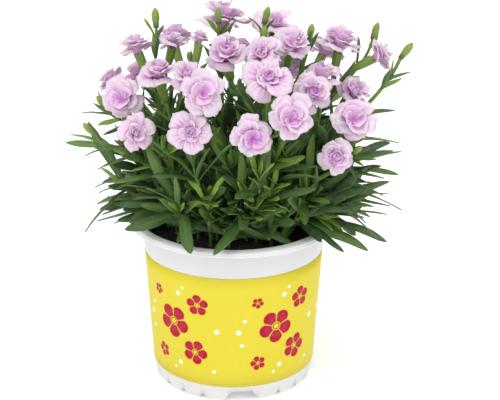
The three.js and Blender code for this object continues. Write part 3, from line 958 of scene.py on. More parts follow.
@dataclass(frozen=True)
class PetalSilk(Finish):
    """Thin pale lilac petals, deeper and veined towards the heart."""

    name: str = "lilac_petal"
    heart: Spot = (0.72, 0.30, 0.72)
    vein: Spot = (0.62, 0.22, 0.58)
    body: Spot = (0.745, 0.49, 0.695)
    edge: Spot = (0.77, 0.595, 0.725)
    blush: Spot = (0.80, 0.665, 0.735)
    # The colour of the painted glow, which stands in for light coming through the thin petals.
    glow: Spot = (0.66, 0.38, 0.72)

    def shade(self, tree: ShaderTree) -> Flow:
        """Lilac by distance from the heart, with veins that fan out and a soft sheen.

        Args:
            tree: The material's tree.

        Returns:
            The shader.
        """
        spot = tree.places()
        along, across, tone, mark, deep = tree.carried("along", "across", "tone", "phase", "deep")
        cloud = tree.noise(spot, 0.16, 3.0)
        fine = tree.noise(spot, 1.3, 3.0)
        colour = (along + (cloud - 0.5) * 0.4).ramp(0.25, 0.95).blend(self.body, self.edge)
        colour = (cloud.ramp(0.45, 0.75) * 0.35).blend(colour, self.blush)
        heart = ((1 - along.ramp(0.05, 0.62)) * (tone * 0.55 + 0.4)).most(deep * 0.8)
        colour = heart.blend(colour, self.heart)
        fan = (across * 17.0 + (fine - 0.5) * 2.6 + mark * 3.0).sine() * 0.5 + 0.5
        fade = along.ramp(0.05, 0.25) * (1 - along.ramp(0.55, 0.92))
        veins = fan.ramp(0.5, 0.95) * fade * (tone * 0.55 + 0.12)
        # Painted light: the inner petals glow faintly towards their roots, where light would come through the
        # thin petals into the cup.
        painted_glow_mask = (deep * 2.0).least(1.0) * (1 - along.ramp(0.15, 0.85))
        inputs = {
            "Base Color": veins.blend(colour, self.vein),
            "Emission Color": painted_glow_mask.blend((0.0, 0.0, 0.0), self.glow),
            "Emission Strength": 0.2,
            "Roughness": fine * 0.14 + 0.55,
            "Subsurface Weight": 0.5,
            "Subsurface Scale": 1.0,
            "Subsurface Radius": (0.0010, 0.0005, 0.0009),
            "Specular IOR Level": 0.25,
            "Sheen Weight": 0.08,
            "Normal": tree.bump(fan * 0.5 * (1 - along * 0.6) + fine * 0.4, 0.16),
        }
        return tree.skin(inputs)


@dataclass(frozen=True)
class StudioPaper(Finish):
    """The plain pale floor."""

    name: str = "studio_paper"
    colour: Spot = (0.94, 0.94, 0.94)

    def shade(self, tree: ShaderTree) -> Flow:
        """Plain matt paper."""
        glow = {"Emission Color": self.colour, "Emission Strength": 0.22}
        return tree.skin({"Base Color": self.colour, "Roughness": 0.9, "Specular IOR Level": 0.1, **glow})


# ---- the pot ----


@dataclass
class Pot:
    """The moulded pot with its printed band, and the peat in it."""

    height: float = 98.0
    rim_radius: float = 60.0
    rim_inner_radius: float = 54.6
    wall_top_radius: float = 52.5
    foot_radius: float = 46.6
    foot_ring: Span = (43.2, 45.2)
    wall: float = 1.3
    rim_depth: float = 3.6
    shoulder: float = 7.5
    floor_height: float = 6.8
    floor_thickness: float = 1.4
    band_low: float = 9.6
    band_high: float = 79.0
    band_recess: float = 0.5
    band_thickness: float = 0.4
    band_gap: float = 0.1
    band_rings: int = 9
    vent_turns: tuple[float, ...] = (-84.0, 6.0, 96.0, 186.0)
    vent_size: Span = (20.0, 6.4)
    notch_offsets: tuple[float, ...] = (28.4, 45.0, 61.6)
    notch_size: Span = (4.8, 2.9)
    slant: float = 0.62
    drain_radius: float = 3.6
    drain_reach: float = 30.0
    drain_sides: int = 24
    drains: int = 4
    soil_level: float = 90.0
    soil_dome: float = 3.5
    soil_reach: float = 50.4
    soil_rings: int = 34
    soil_sides: int = 144
    soil_waves: int = 26
    soil_gap: float = 0.4
    crumb_reach: float = 49.0
    crumbs: int = 900
    sides: int = 160

    def wall_radius(self, height: float) -> float:
        """Outside radius of the wall at a height."""
        rise = self.wall_top_radius - self.foot_radius
        return self.foot_radius + rise * height / (self.height - self.shoulder)

    def soil_height(self, x: float, y: float) -> float:
        """Height of the peat's surface.

        Args:
            x: Where, across the pot.
            y: Where, from front to back.

        Returns:
            The height, in millimetres.
        """
        dome = self.soil_dome * (1 - (math.hypot(x, y) / self.rim_inner_radius) ** 2)
        lumps = 0.8 * math.sin(0.31 * x + 1.2) * math.cos(0.27 * y)
        return self.soil_level + dome + lumps + 0.5 * math.sin(0.74 * y - 0.42 * x)

    def build_shell(self) -> None:
        """The pot itself, with its rounded rim and the cuts in its foot."""
        top, rim, wall_top = self.height, self.rim_radius, self.wall_top_radius
        under, step = top - self.rim_depth, top - self.shoulder
        low, high, recess = self.band_low, self.band_high, self.band_recess
        floor, floor_top = self.floor_height, self.floor_height + self.floor_thickness
        outer, (ring, sole) = self.wall_radius, self.foot_ring
        corners = [
            (0.0, floor, 0.0), (ring, floor, 0.6), (ring + 0.1, 0.0, 0.25), (sole, 0.0, 0.5),
            (outer(low), low, 0.12), (outer(low) - recess, low, 0.1),
            (outer(high) - recess, high, 0.1), (outer(high), high, 0.12),
            (wall_top, step, 0.6), (wall_top + 0.4, step + 0.9, 0.1), (wall_top + 0.1, step + 1.0, 0.1),
            (wall_top + 0.2, step + 1.25, 0.1), (wall_top + 0.65, step + 1.4, 0.1),
            (wall_top + 1.4, under - 0.8, 0.8), (rim - 1.2, under, 0.3), (rim, under + 0.5, 0.35),
            (rim - 0.05, top - 2.1, 0.12), (rim - 0.35, top - 1.9, 0.12), (rim - 0.45, top - 0.7, 0.5),
            (rim - 1.6, top - 0.05, 0.5), (rim - 2.3, top - 0.05, 0.15), (rim - 2.55, top - 0.35, 0.15),
            (rim - 2.8, top, 0.15), (self.rim_inner_radius + 0.1, top, 0.6),
            (outer(step) - self.wall + 0.8, step + 3.0, 2.0), (outer(step) - self.wall, step, 0.6),
            (outer(floor_top) - self.wall, floor_top, 1.5), (0.0, floor_top, 0.0),
        ]
        shell = turned("pot_shell", rounded(corners), self.sides)
        cutter = self.foot_cutter()
        cut = shell.modifiers.new("cuts", "BOOLEAN")
        cut.operation, cut.solver, cut.object = "DIFFERENCE", "EXACT", cutter
        mesh = baked_mesh(shell, shell.name)
        shell.modifiers.clear()
        shell.data = mesh
        bpy.data.objects.remove(cutter)
        finished(shell, ["pot"], MouldedPlastic())

    def foot_cutter(self) -> bpy.types.Object:
        """What cuts the vents and notches through the foot, and the drain holes through the floor.

        Returns:
            The object.
        """
        cuts = [(turn, self.vent_size) for turn in self.vent_turns]
        cuts += [(turn + off, self.notch_size) for turn in self.vent_turns for off in self.notch_offsets]
        points, faces = [], []
        for turn, (width, height) in cuts:
            along, ends = place(turn, 1.0), []
            side = np.array([-along[1], along[0], 0.0])
            for reach in (self.foot_radius - 4.5, self.foot_radius + 1.5):
                ends.append([])
                for sign, level in ((-1, -1), (1, -1), (1, 1), (-1, 1)):
                    half = width / 2 - level * self.slant * height
                    ends[-1].append(along * reach + side * sign * half + UP * level * height)
            prism(points, faces, *ends)
        turns = [360 * n / self.drain_sides for n in range(self.drain_sides)]
        for k in range(self.drains):
            spot = place(45 + 360 * k / self.drains, self.drain_reach)
            low, high = (
                [spot + place(turn, self.drain_radius, self.floor_height + level) for turn in turns]
                for level in (-4, 4)
            )
            prism(points, faces, low, high)
        cutter = meshed("foot_cutter", points, faces)
        cutter.data.shade_flat()
        return cutter

    def build_band(self) -> None:
        """The printed film that lies in the wall's shallow recess."""
        low, high = self.band_low + self.band_gap, self.band_high - self.band_gap
        levels = np.linspace(low, high, self.band_rings)
        inside = [(self.wall_radius(z) - self.band_recess + self.band_gap, z) for z in levels]
        outline = [(radius + self.band_thickness, z) for radius, z in inside] + inside[::-1]
        finished(turned("band_film", outline, self.sides), ["printed_band"], PrintedFilm())

    def build_peat(self) -> None:
        """The body of peat, with a lumpy top that dips a little at the wall."""
        rings, sides = self.soil_rings, self.soil_sides
        random, shape = np.random.default_rng(Seed.PEAT), (self.soil_waves, 2)
        waves = random.uniform(0.25, 1.7, shape) * random.choice([-1, 1], shape)
        phases = random.uniform(0, TURN, self.soil_waves)
        points, faces = [(0.0, 0.0, self.soil_height(0, 0))], []
        for ring in range(1, rings + 1):
            radius = self.soil_reach * (ring / rings) ** 0.9
            for k in range(sides):
                x, y, _ = place(360 * k / sides, radius)
                fine = np.sin(waves @ np.array([x, y]) + phases)
                rough = 0.16 * float((fine / (1 + np.abs(waves).sum(1))).sum())
                dip = 1.6 * max(0.0, (radius - 46) / 4.4) ** 2
                points.append((x, y, self.soil_height(x, y) + rough * 1.6 - dip))
        base = self.floor_height + self.floor_thickness + self.soil_gap
        under = self.wall_radius(base) - self.wall - 0.7
        points.extend(place(360 * k / sides, under, base) for k in range(sides))
        points.append((0.0, 0.0, base))
        for k in range(sides):
            after = (k + 1) % sides
            faces.append((0, 1 + k, 1 + after))
            for low in range(1, 1 + rings * sides, sides):
                faces.append((low + k, low + sides + k, low + sides + after, low + after))
            last = 1 + rings * sides
            faces.append((len(points) - 1, last + after, last + k))
        finished(meshed("peat", points, faces), ["soil"], Peat())

    def build_crumbs(self) -> None:
        """Loose crumbs and fibres of peat on top."""
        tree = GrowthTree("crumb_growth", {"Grain": 0.0011, "Roughness": 0.55})
        ball = tree.node("GeometryNodeMeshIcoSphere", {"Radius": 1.0, "Subdivisions": 1})
        body = tree.repeat(ball, dict(zip(("ball_x", "ball_y", "ball_z"), tree.corner())))
        x, y, z, bulk, stretch = tree.numbers("ball_x", "ball_y", "ball_z", "bulk", "stretch")
        centre, lead, side = tree.vectors("centre", "lead", "side")
        knobs = tree.noise(tree.join(x, y, z) + centre * 9000.0, 1.4, 1.0) - 0.5
        swell = (knobs * tree.size("Roughness") * 2.0 + 1.0) * tree.size("Grain")
        offset = lead * (x * stretch) + side * y + lead.cross(side) * (z * 0.75)
        tree.finish(body, Peat(), centre + offset * (swell * bulk))
        random = np.random.default_rng(Seed.CRUMB)
        count = self.crumbs
        reach = self.crumb_reach * np.sqrt(random.uniform(0.02, 1, count))
        spots = np.array([place(t, r) for t, r in zip(random.uniform(0, 360, count), reach)])
        for spot in spots:
            spot[2] = self.soil_height(spot[0], spot[1]) + 0.15
        lead = random.normal(size=(count, 3)) * (1, 1, 0.35)
        lead /= np.linalg.norm(lead, axis=1)[:, None]
        side = np.cross(lead, random.normal(size=(count, 3)))
        side /= np.linalg.norm(side, axis=1)[:, None]
        long = random.uniform(0, 1, count) < 0.16
        bulk = np.where(long, 0.45, random.uniform(0.35, 1.35, count) ** 1.4)
        stretch = np.where(long, random.uniform(4, 9, count), 1.15)
        carried = {"bulk": bulk, "stretch": stretch, "centre": spots * MM, "lead": lead, "side": side}
        tree.grow("peat_crumbs", "peat", [], carried)

    def build(self) -> None:
        """Builds the pot, its band and what fills it."""
        self.build_shell()
        self.build_band()
        self.build_peat()
        self.build_crumbs()


# ---- the plant's plan ----


@dataclass(frozen=True)
class Head:
    """A bloom or bud: its place, the way it faces as bearing and elevation, and its width or its length."""

    at: Spot
    face: Span
    width: float = 0.0
    length: float = 15.0
    heart: float = 0.45

    @property
    def growth(self) -> float:
        """How near a bloom is to its full width, from 0 to 1."""
        return min(1, self.width / 20)

    @property
    def axis(self) -> Array:
        """The way it faces."""
        return direction(*self.face)

    @property
    def top(self) -> Array:
        """Where the calyx under the bloom ends, or the bud's tip."""
        return place(*self.at) - (4.0 * self.axis if self.width else 0.0)

    @property
    def foot(self) -> Array:
        """Where the calyx or bud starts."""
        return self.top - self.axis * self.length


def bloom(*plan: float) -> Head:
    """A bloom by its bearing, reach and height, the way it faces, its width and how deep its heart is."""
    return Head(plan[:3], plan[3:5], plan[5], heart=(*plan, 0.45)[6])


def bud(*plan: float) -> Head:
    """A bud by its tip's bearing, reach and height, the way it faces and its length."""
    return Head(plan[:3], plan[3:5], length=plan[5])


# The flowering stems: where each leaves the peat, by bearing and reach, and its heads. The first head ends
# the stem, and the others fork from it.
FLOWER_STEMS = (
    ((172, 17), bloom(-160, 65, 175, -107, 30, 26, 0.35), bloom(163, 75, 172, 157, 35, 18),
     bud(174, 78, 166, 165, 50, 10)),
    ((-140, 21), bloom(-137, 70, 163, -62, 18, 23, 0.2), bud(-165, 86, 160, 170, 42, 10)),
    ((-165, 10), bloom(-157, 46, 187, -135, 68, 23, 0.3), bloom(-130, 40, 190, -120, 52, 20, 0.5)),
    ((148, 15), bloom(167, 57, 194, 146, 62, 20, 0.3), bloom(158, 36, 198, -10, 76, 17, 0.2),
     bud(163, 46, 216, 120, 84, 11)),
    ((110, 6), bloom(98, 38, 202, 60, 80, 30, 0.4), bloom(168, 19, 203, 60, 70, 11),
     bud(120, 17, 216, 90, 80, 9)),
    ((-112, 15), bloom(-107, 57, 189, -84, 26, 25, 0.3), bloom(-111, 63, 167, -92, 18, 26, 1.0)),
    ((-60, 6), bloom(-58, 30, 200, -102, 42, 21, 0.5), bloom(-104, 19, 198, -112, 60, 24, 0.45)),
    ((72, 14), bloom(60, 46, 199, -80, 72, 27, 0.2), bud(25, 19, 207, 60, 82, 11),
     bud(50, 31, 214, 20, 74, 10)),
    ((18, 8), bloom(-2, 32, 199, -77, 60, 23, 0.35), bud(12, 45, 208, 10, 80, 10)),
    ((-82, 22), bloom(-67, 49, 193, -85, 50, 28, 1.0), bloom(-81, 65, 167, -84, 14, 24, 0.8)),
    ((-48, 17), bloom(-64, 69, 177, -83, 34, 26, 0.45), bloom(-33, 51, 179, -82, 25, 23, 0.9)),
    ((2, 17), bloom(-8, 49, 182, -90, 80, 22, 0.35), bloom(4, 69, 170, -45, 52, 22, 0.4)),
    ((28, 21), bloom(17, 63, 194, 26, 78, 25, 0.3), bloom(13, 86, 187, 7, 27, 23, 0.3),
     bud(20, 88, 203, 20, 70, 10)),
    ((-24, 21), bloom(-27, 72, 166, -82, 43, 26, 0.3), bloom(-41, 74, 149, -90, 12, 21, 0.5),
     bud(-32, 82, 154, -40, 40, 9)),
    ((-3, 27), bud(5, 101, 197, 5, 52, 11)),
    ((118, 22), bloom(122, 68, 184, 118, 50, 26), bloom(138, 76, 164, 140, 30, 24),
     bud(110, 80, 172, 112, 40, 10)),
    ((82, 24), bloom(92, 66, 176, 90, 42, 26, 0.7), bloom(64, 74, 168, 62, 32, 24)),
    ((50, 24), bloom(38, 68, 184, 42, 52, 25), bloom(34, 83, 160, 30, 25, 22, 0.8)),
)
HEADS = [head for _, *heads in FLOWER_STEMS for head in heads]
BLOOMS = [head for head in HEADS if head.width]
BUDS = [head for head in HEADS if not head.width]

# The leafy tufts: where each leaves the peat, how widely it spreads, and the three shoots of each by their
# swing from the tuft, how far out and up they end, and where their pairs of leaves are.
TUFT_ROOTS = ((-96, 21), (-52, 25), (-12, 32), (36, 33), (80, 30), (122, 29), (168, 32), (-142, 28))
TUFT_SPREADS = (0.7, 0.6, 1.0, 1.0, 0.5, 0.6, 1.45, 1.1)
TUFT_SHOOTS = ((-20, 16, 14, (0.5, 1.0)), (20, 20, 21, (0.5, 1.0)), (2, 18, 43, (0.36, 0.7, 1.0)))

# The finer side shoots by bearing, reach past the root and rise, and the young sprigs by their tip's place.
SIDE_SHOOTS = (
    (-42, 18, 16), (-33, 22, 32), (-24, 20, 20), (-15, 23, 40),
    (-7, 20, 24), (2, 24, 34), (12, 20, 18), (24, 22, 34),
)
SPRIGS = ((-64, 46, 127), (-50, 49, 113), (-76, 45, 116), (-108, 47, 121))

STEM_NAMES = [f"flower_stem_{k + 1:02d}" for k in range(len(FLOWER_STEMS))]
TUFT_NAMES = [f"leaf_tuft_{k + 1:02d}" for k in range(len(TUFT_ROOTS))]


class LeafKind(Enum):
    """The two kinds of leaf: length, width, opening, droop, how far the tip goes out, and bluntness."""

    TUFT = (37.0, 6.4, 44.0, 0.15, 0.14, 0.9)
    STEM = (36.0, 4.8, 34.0, 0.12, 0.16, 0.35)


@dataclass(frozen=True)
class FineKind:
    """A kind of finer leaf.

    Its turn strays by a few degrees to either side. The ranges are those of its angle from the stem, its
    length, width and age, then come how blunt its tip is, and how far that falls as shares of the length.
    """

    stray: float
    opening: Span
    length: Span
    width: Span
    tone: Span
    blunt: float = 0.5
    droop: Span = (0.0, 0.22)


FORK_LEAF = FineKind(14, (20, 44), (26, 38), (4.2, 5.6), (-0.12, 0.16), 0.4)
TIP_LEAF = FineKind(16, (12, 36), (26, 36), (3.6, 5.0), (-0.15, 0.15))
SHOOT_LEAF = FineKind(14, (34, 66), (30, 44), (4.8, 6.4), (-0.12, 0.16), 0.9)
LOW_LEAF = FineKind(16, (50, 80), (27, 40), (4.4, 6.2), (0.05, 0.55), 1.0, (0.12, 0.42))
SIDE_LEAF = FineKind(16, (50, 80), (27, 40), (4.4, 6.2), (0.05, 0.55), 0.6, (0.0, 0.25))
SPRIG_LEAF = FineKind(15, (24, 60), (10, 19), (3.0, 4.2), (0.85, 1.15), 0.9)


@dataclass(frozen=True)
class Leaf:
    """One leaf: its base, the way it leads, its level side and how its tip bends, then its sizes and age.

    The last two say how blunt its tip is, from 0 to 1, and how it curls, where nought leaves that to chance.
    """

    base: Array
    lead: Array
    side: Array
    bend: Array
    length: float
    width: float
    tone: float
    blunt: float = 0.0
    curl: float = 0.0

    @property
    def tip(self) -> Array:
        """Where it ends."""
        return self.base + self.lead * self.length + self.bend

    def along(self, share: float) -> Array:
        """A point of its midline."""
        return self.base + self.lead * self.length * share + self.bend * share**2


@dataclass(frozen=True)
class LeafBed:
    """What a leaf needs to grow at a stem's node, before it is bent clear of what stands in its way."""

    spot: Array
    axis: Array
    kind: LeafKind
    swing: float
    opening: float
    length: float
    width: float
    droop: float
    tries: int = 14
    lowest: float = 96.0

    def leaf(self, attempt: int, tone: float) -> Leaf:
        """The leaf on its n-th try: each try swings it further round, opens it more and shortens it.

        Args:
            attempt: Which try, from 0.
            tone: Its age, from 0, old, to 1, young.

        Returns:
            The leaf.
        """
        turn = self.swing + alternate(attempt, 11)
        outward, lead = splay(self.axis, turn, self.opening + (attempt % 3) * 7)
        size = self.length * (1 - 0.045 * attempt)
        *_, lean, blunt = self.kind.value
        bend = outward * lean * size - UP * self.droop * size
        base = self.spot + outward * 0.35
        bend[2] += max(0.0, self.lowest - (base[2] + size * lead[2] + bend[2]))
        side = np.cross(self.axis, outward)
        return Leaf(base, lead, side, bend, size, self.width, tone, blunt)


def paired(shares: tuple, start: float) -> Iterator[tuple]:
    """Opposite pairs of leaves up a stem, each pair square to the one below.

    Args:
        shares: Where the pairs are.
        start: The first leaf's turn round the stem.

    Yields:
        For each leaf, its pair's number, where it is and its turn.
    """
    for pair, share in enumerate(shares):
        for half in (0, 180):
            yield pair, share, start + 90 * pair + half


def leaf_beds(curve: Bezier, nodes: tuple, kind: LeafKind, random: RandomSource) -> list[LeafBed]:
    """The pairs of leaves at the nodes up a curve.

    Args:
        curve: The stem's or shoot's line.
        nodes: Where the pairs are, as shares of the way.
        kind: What leaves they are.
        random: Where their differences come from.

    Returns:
        A bed for each leaf.
    """
    length, width, opening, droop, _, _ = kind.value
    beds = []
    for _, share, turn in paired(nodes, 360 * random()):
        swing = turn + 24 * (random() - 0.5)
        opened = opening * (0.8 + 0.4 * random())
        long = length * (0.8 + 0.36 * random())
        wide = width * (0.85 + 0.3 * random())
        fall = droop * (0.5 + random())
        beds.append(LeafBed(*curve.at(share), kind, swing, opened, long, wide, fall))
    return beds


@dataclass(frozen=True)
class Limb:
    """A stem's or fork's line, how thick it is at its foot and top, and its nodes, age and buried end."""

    curve: Bezier
    low: float
    high: float
    nodes: tuple[float, ...]
    tone: float
    buried: Array | None = None
    steps: int = 18

    def line(self) -> tuple[Array, Array, Array, Array]:
        """The limb as a line of points.

        Returns:
            The points, and at each the radius, how near it is to a node and its age, from 0 to 1.
        """
        shares = np.linspace(0, 1, self.steps + 1)
        points = [self.curve.point(share) for share in shares]
        length = float(sum(np.linalg.norm(b - a) for a, b in zip(points, points[1:])))
        near = np.zeros(len(shares))
        for node in self.nodes:
            gap = (shares - node) * length
            near = np.maximum(near, np.exp(-(((gap - 1.0) / 2.4) ** 2)))
        radii, foot = (self.low + (self.high - self.low) * shares) * (1 + 0.42 * near), 0.0
        if self.buried is not None:
            points.insert(0, self.buried)
            radii, near, foot = np.insert(radii, 0, self.low), np.insert(near, 0, 0.0), -0.6
        rise = np.interp(np.linspace(0, 1, len(points)), (0, 0.2, 1), (foot, 0.05, 0.3))
        return np.array(points), radii, near, self.tone + rise


class Solids:
    """The packed solids' corners, to find out which leaves grew."""

    def __init__(self, nodes: dict[str, bpy.types.Object]) -> None:
        """Keeps a search tree of each green node's corners.

        Args:
            nodes: The solids, by name.
        """
        self.trees = {}
        for name in (*STEM_NAMES, *TUFT_NAMES):
            corners = nodes[name].data.vertices
            self.trees[name] = KDTree(len(corners))
            for corner in corners:
                self.trees[name].insert(corner.co, corner.index)
            self.trees[name].balance()

    def grown(self, name: str, bed: LeafBed, tone: float, within: float = 0.12) -> Leaf | None:
        """The leaf that grew at a bed, if one did.

        Args:
            name: The node it would be in.
            bed: The bed.
            tone: The leaf's age.
            within: How near its tip has to be to one of the node's corners, in millimetres.

        Returns:
            The leaf, or nothing.
        """
        for attempt in range(bed.tries):
            leaf = bed.leaf(attempt, tone)
            _, _, distance = self.trees[name].find(Vector(leaf.tip * MM))
            if distance < within * MM:
                return leaf
        return None


# ---- greenery ----


@dataclass
class Greenery:
    """Stems, shoots and leaves: those of the solids, and the finer ones that fill the gaps between them."""

    pot: Pot
    solids: Solids
    low: Array
    high: Array
    stem_radius: float = 1.35
    fork_radius: float = 0.95
    shoot_radius: float = 1.15
    stem_nodes: tuple[float, ...] = (0.2, 0.44)
    stem_elevation: float = 76.0
    fork_elevation: float = 62.0
    fork_at: float = 0.4
    fork_step: float = 0.13
    rosettes: int = 26
    filling_shoots: int = 36
    fewest_leaves: int = 3
    leaf_tries: int = 6
    shoot_tries: int = 12
    root_depth: float = 8.0
    fine_root_depth: float = 6.0
    limbs: list[Limb] = field(default_factory=list)
    stem_leaves: list[Leaf] = field(default_factory=list)
    tuft_leaves: list[Leaf] = field(default_factory=list)
    filling_leaves: list[Leaf] = field(default_factory=list)
    blooms: list[Head] = field(default_factory=list)

    def collar(self, bearing: float, reach: float) -> Array:
        """Where a stem's straight foot ends, just over the peat.

        Args:
            bearing: The stem's bearing.
            reach: How far it is from the pot's axis.

        Returns:
            The point.
        """
        spot = place(bearing, reach)
        spot[2] = self.pot.soil_height(spot[0], spot[1]) + 2.5
        return spot

    def plan_stems(self) -> None:
        """Lays out the flowering stems and their forks, with the leaves that they carry."""
        for k, (root, *heads) in enumerate(FLOWER_STEMS):
            collar = self.collar(*root)
            main = None
            for n, head in enumerate(heads):
                bearing, _, _ = head.at
                start, leaving = collar, direction(bearing, self.stem_elevation)
                if main:
                    fork = self.fork_at + self.fork_step * n
                    start, outward = main.point(fork), direction(bearing, self.fork_elevation)
                    leaving = unit(0.6 * main.tangent(fork) + 0.4 * outward)
                curve = Bezier.between(start, leaving, head.foot, unit(head.axis + 0.8 * UP))
                limb = Limb(curve, self.fork_radius, 0.8, (0.45,), 0.5)
                if main is None:
                    main, high = curve, self.fork_radius + 0.1
                    foot = collar - self.root_depth * UP
                    limb = Limb(curve, self.stem_radius, high, self.stem_nodes, 0.35, foot)
                self.limbs.append(limb)
                if head.width:
                    self.blooms.append(head)
                self.fill_fork(curve, Seed.FORK + 10 * k + n, n == 0, bool(head.width))
            beds = leaf_beds(main, self.stem_nodes, LeafKind.STEM, RandomSource(Seed.STEM + k))
            for n, bed in enumerate(beds):
                leaf = self.solids.grown(STEM_NAMES[k], bed, 0.28 + 0.2 * (n // 2))
                if leaf:
                    self.stem_leaves.append(leaf)

    def plan_tufts(self) -> None:
        """Lays out the leafy tufts, finding which try each shoot and leaf took."""
        for k, (root, spread) in enumerate(zip(TUFT_ROOTS, TUFT_SPREADS)):
            random = RandomSource(Seed.TUFT + k)
            collar = self.collar(*root)
            for n, (swing, out, rise, nodes) in enumerate(TUFT_SHOOTS):
                bearing = root[0] + swing + 10 * (random() - 0.5)
                reach = root[1] + spread * out * (0.85 + 0.3 * random())
                height = self.pot.soil_level + self.pot.soil_dome + rise * (0.85 + 0.3 * random())
                state = after = random.state
                leaves, line = [], None
                for attempt in range(self.shoot_tries):
                    random.state = state
                    start = collar - UP if n else collar
                    tip = place(bearing + alternate(attempt, 9), reach, height)
                    curve = Bezier.between(start, UP, tip, unit(tip - start))
                    beds = leaf_beds(curve, nodes, LeafKind.TUFT, random)
                    tones = [0.18 + 0.14 * (j // 2) + 0.1 * n for j in range(len(beds))]
                    tried = [self.solids.grown(TUFT_NAMES[k], bed, tone) for bed, tone in zip(beds, tones)]
                    found = [leaf for leaf in tried if leaf]
                    if len(found) > len(leaves):
                        leaves, line, after = found, curve, random.state
                random.state = after
                if line:
                    self.tuft_leaves.extend(leaves)
                    buried = None if n else collar - self.root_depth * UP
                    self.limbs.append(Limb(line, self.shoot_radius, 0.85, nodes, 0.3, buried))
                    self.crown(line, Seed.CROWN + 20 * k + n)

    def is_clear(self, leaf: Leaf) -> bool:
        """Whether a finer leaf stays in the plant's room, off the pot and peat, and out of the blooms.

        Args:
            leaf: The leaf.

        Returns:
            Whether it does.
        """
        pot = self.pot
        for share in np.linspace(0.15, 1.0, 8):
            spot = leaf.along(share)
            x, y, z = spot
            reach = math.hypot(x, y)
            outside = (spot < self.low).any() or (spot > self.high).any()
            on_rim = pot.wall_top_radius < reach < pot.rim_radius + 1 and z < pot.height + 1.3
            in_peat = reach <= pot.wall_top_radius and z < pot.soil_height(x, y) + 1
            # In front the leaves stay high, so that the band shows.
            over_front = y < -28 and abs(x + 4) < 42 and reach > 43 and z < 60 + reach
            if outside or on_rim or in_peat or over_front or z < pot.soil_level + 1:
                return False
            # A bloom's room is a low cylinder round its petals.
            for head in self.blooms:
                offset = spot - place(*head.at)
                height = offset @ head.axis
                level = np.linalg.norm(offset - height * head.axis)
                if -4 < height < 9 and level < 0.46 * head.width:
                    return False
        return True

    def fill(
        self,
        kind: FineKind,
        at: tuple[Array, Array],
        turn: float,
        random: RandomSource,
        tone: float = 0.0,
        scales: tuple[float, float, float, float] = (1, 1, 1, 1),
    ) -> None:
        """Adds a finer leaf, bent or shortened until it is clear, if it can be.

        Args:
            kind: What leaf it is.
            at: Where it grows from, and the stem's direction there.
            turn: Its turn round the stem, in degrees.
            random: Where its differences come from.
            tone: How much older or younger than its kind it is.
            scales: How its angle, length, width and bluntness compare with its kind's.
        """
        swing = turn + random.about(kind.stray)
        opening = random.between(*kind.opening) * scales[0]
        length = random.between(*kind.length) * scales[1]
        width = random.between(*kind.width) * scales[2]
        tone = tone + random.between(*kind.tone)
        spot, axis = at
        for attempt in range(self.leaf_tries):
            swung = swing + 17 * attempt * (1 if attempt % 2 else -1)
            outward, lead = splay(axis, swung, max(12, opening - 4 * attempt))
            size = length * (1 - 0.08 * attempt)
            bend = outward * size * random.between(0.02, 0.22)
            bend = bend - UP * size * random.between(*kind.droop) * (1 - 0.12 * attempt)
            side, blunt = np.cross(axis, outward), kind.blunt * scales[3]
            leaf = Leaf(spot + outward * 0.3, lead, side, bend, size, width, tone, blunt, random.about(1))
            if self.is_clear(leaf):
                self.filling_leaves.append(leaf)
                return

    def fill_fork(self, curve: Bezier, seed: int, first: bool, flowers: bool) -> None:
        """Adds finer leaves up a flowering stem or fork, smaller and more upright towards the head.

        Args:
            curve: The stem's or fork's line.
            seed: Where its differences start.
            first: Whether it is the main stem.
            flowers: Whether it ends in a bloom, not a bud.
        """
        random = RandomSource(seed)
        shares = (0.07, 0.32, 0.6, 0.8) if first else (0.3, 0.62)
        shares += () if flowers else (0.86,)
        for _, share, turn in paired(shares, 360 * random()):
            up = share if first else 0.45 + 0.5 * share
            scales = (1.15 - 0.5 * up, 1.1 - 0.72 * up, 1.1 - 0.62 * up, 1 - up)
            self.fill(FORK_LEAF, curve.at(share), turn, random, 0.2 + 0.5 * up, scales)

    def crown(self, curve: Bezier, seed: int) -> None:
        """Adds the young, bright, upright leaves at a shoot's tip, and small leaves in its axils.

        Args:
            curve: The shoot's line.
            seed: Where its differences start.
        """
        random = RandomSource(seed)
        for n, (share, size), turn in paired(((0.82, 0.9), (1.0, 0.72), (1.0, 0.5)), 360 * random()):
            scales = (size, size, size**0.7, 1)
            self.fill(TIP_LEAF, curve.at(share), turn, random, 0.5 + 0.16 * n, scales)

    # The finer shoots' low default tone is partly painted shade, darkening their stems low in the plant.
    @contextmanager
    def shoot(
        self, collar: Array, tip: Array, upright: float, radii: Span, nodes: tuple, tone: float = 0.15
    ) -> Iterator[Bezier]:
        """Lays out a finer shoot, which stays if enough finer leaves are added to it meanwhile.

        Args:
            collar: Where it leaves the peat.
            tip: Where it ends.
            upright: How much it straightens up there.
            radii: How thick it is at its foot and top.
            nodes: Where its nodes are.
            tone: Its age.

        Yields:
            Its line.
        """
        before = len(self.filling_leaves)
        curve = Bezier.between(collar, UP, tip, unit(tip - collar + upright * UP))
        yield curve
        if len(self.filling_leaves) - before < self.fewest_leaves:
            del self.filling_leaves[before:]
        else:
            self.limbs.append(Limb(curve, *radii, nodes, tone, collar - self.fine_root_depth * UP))

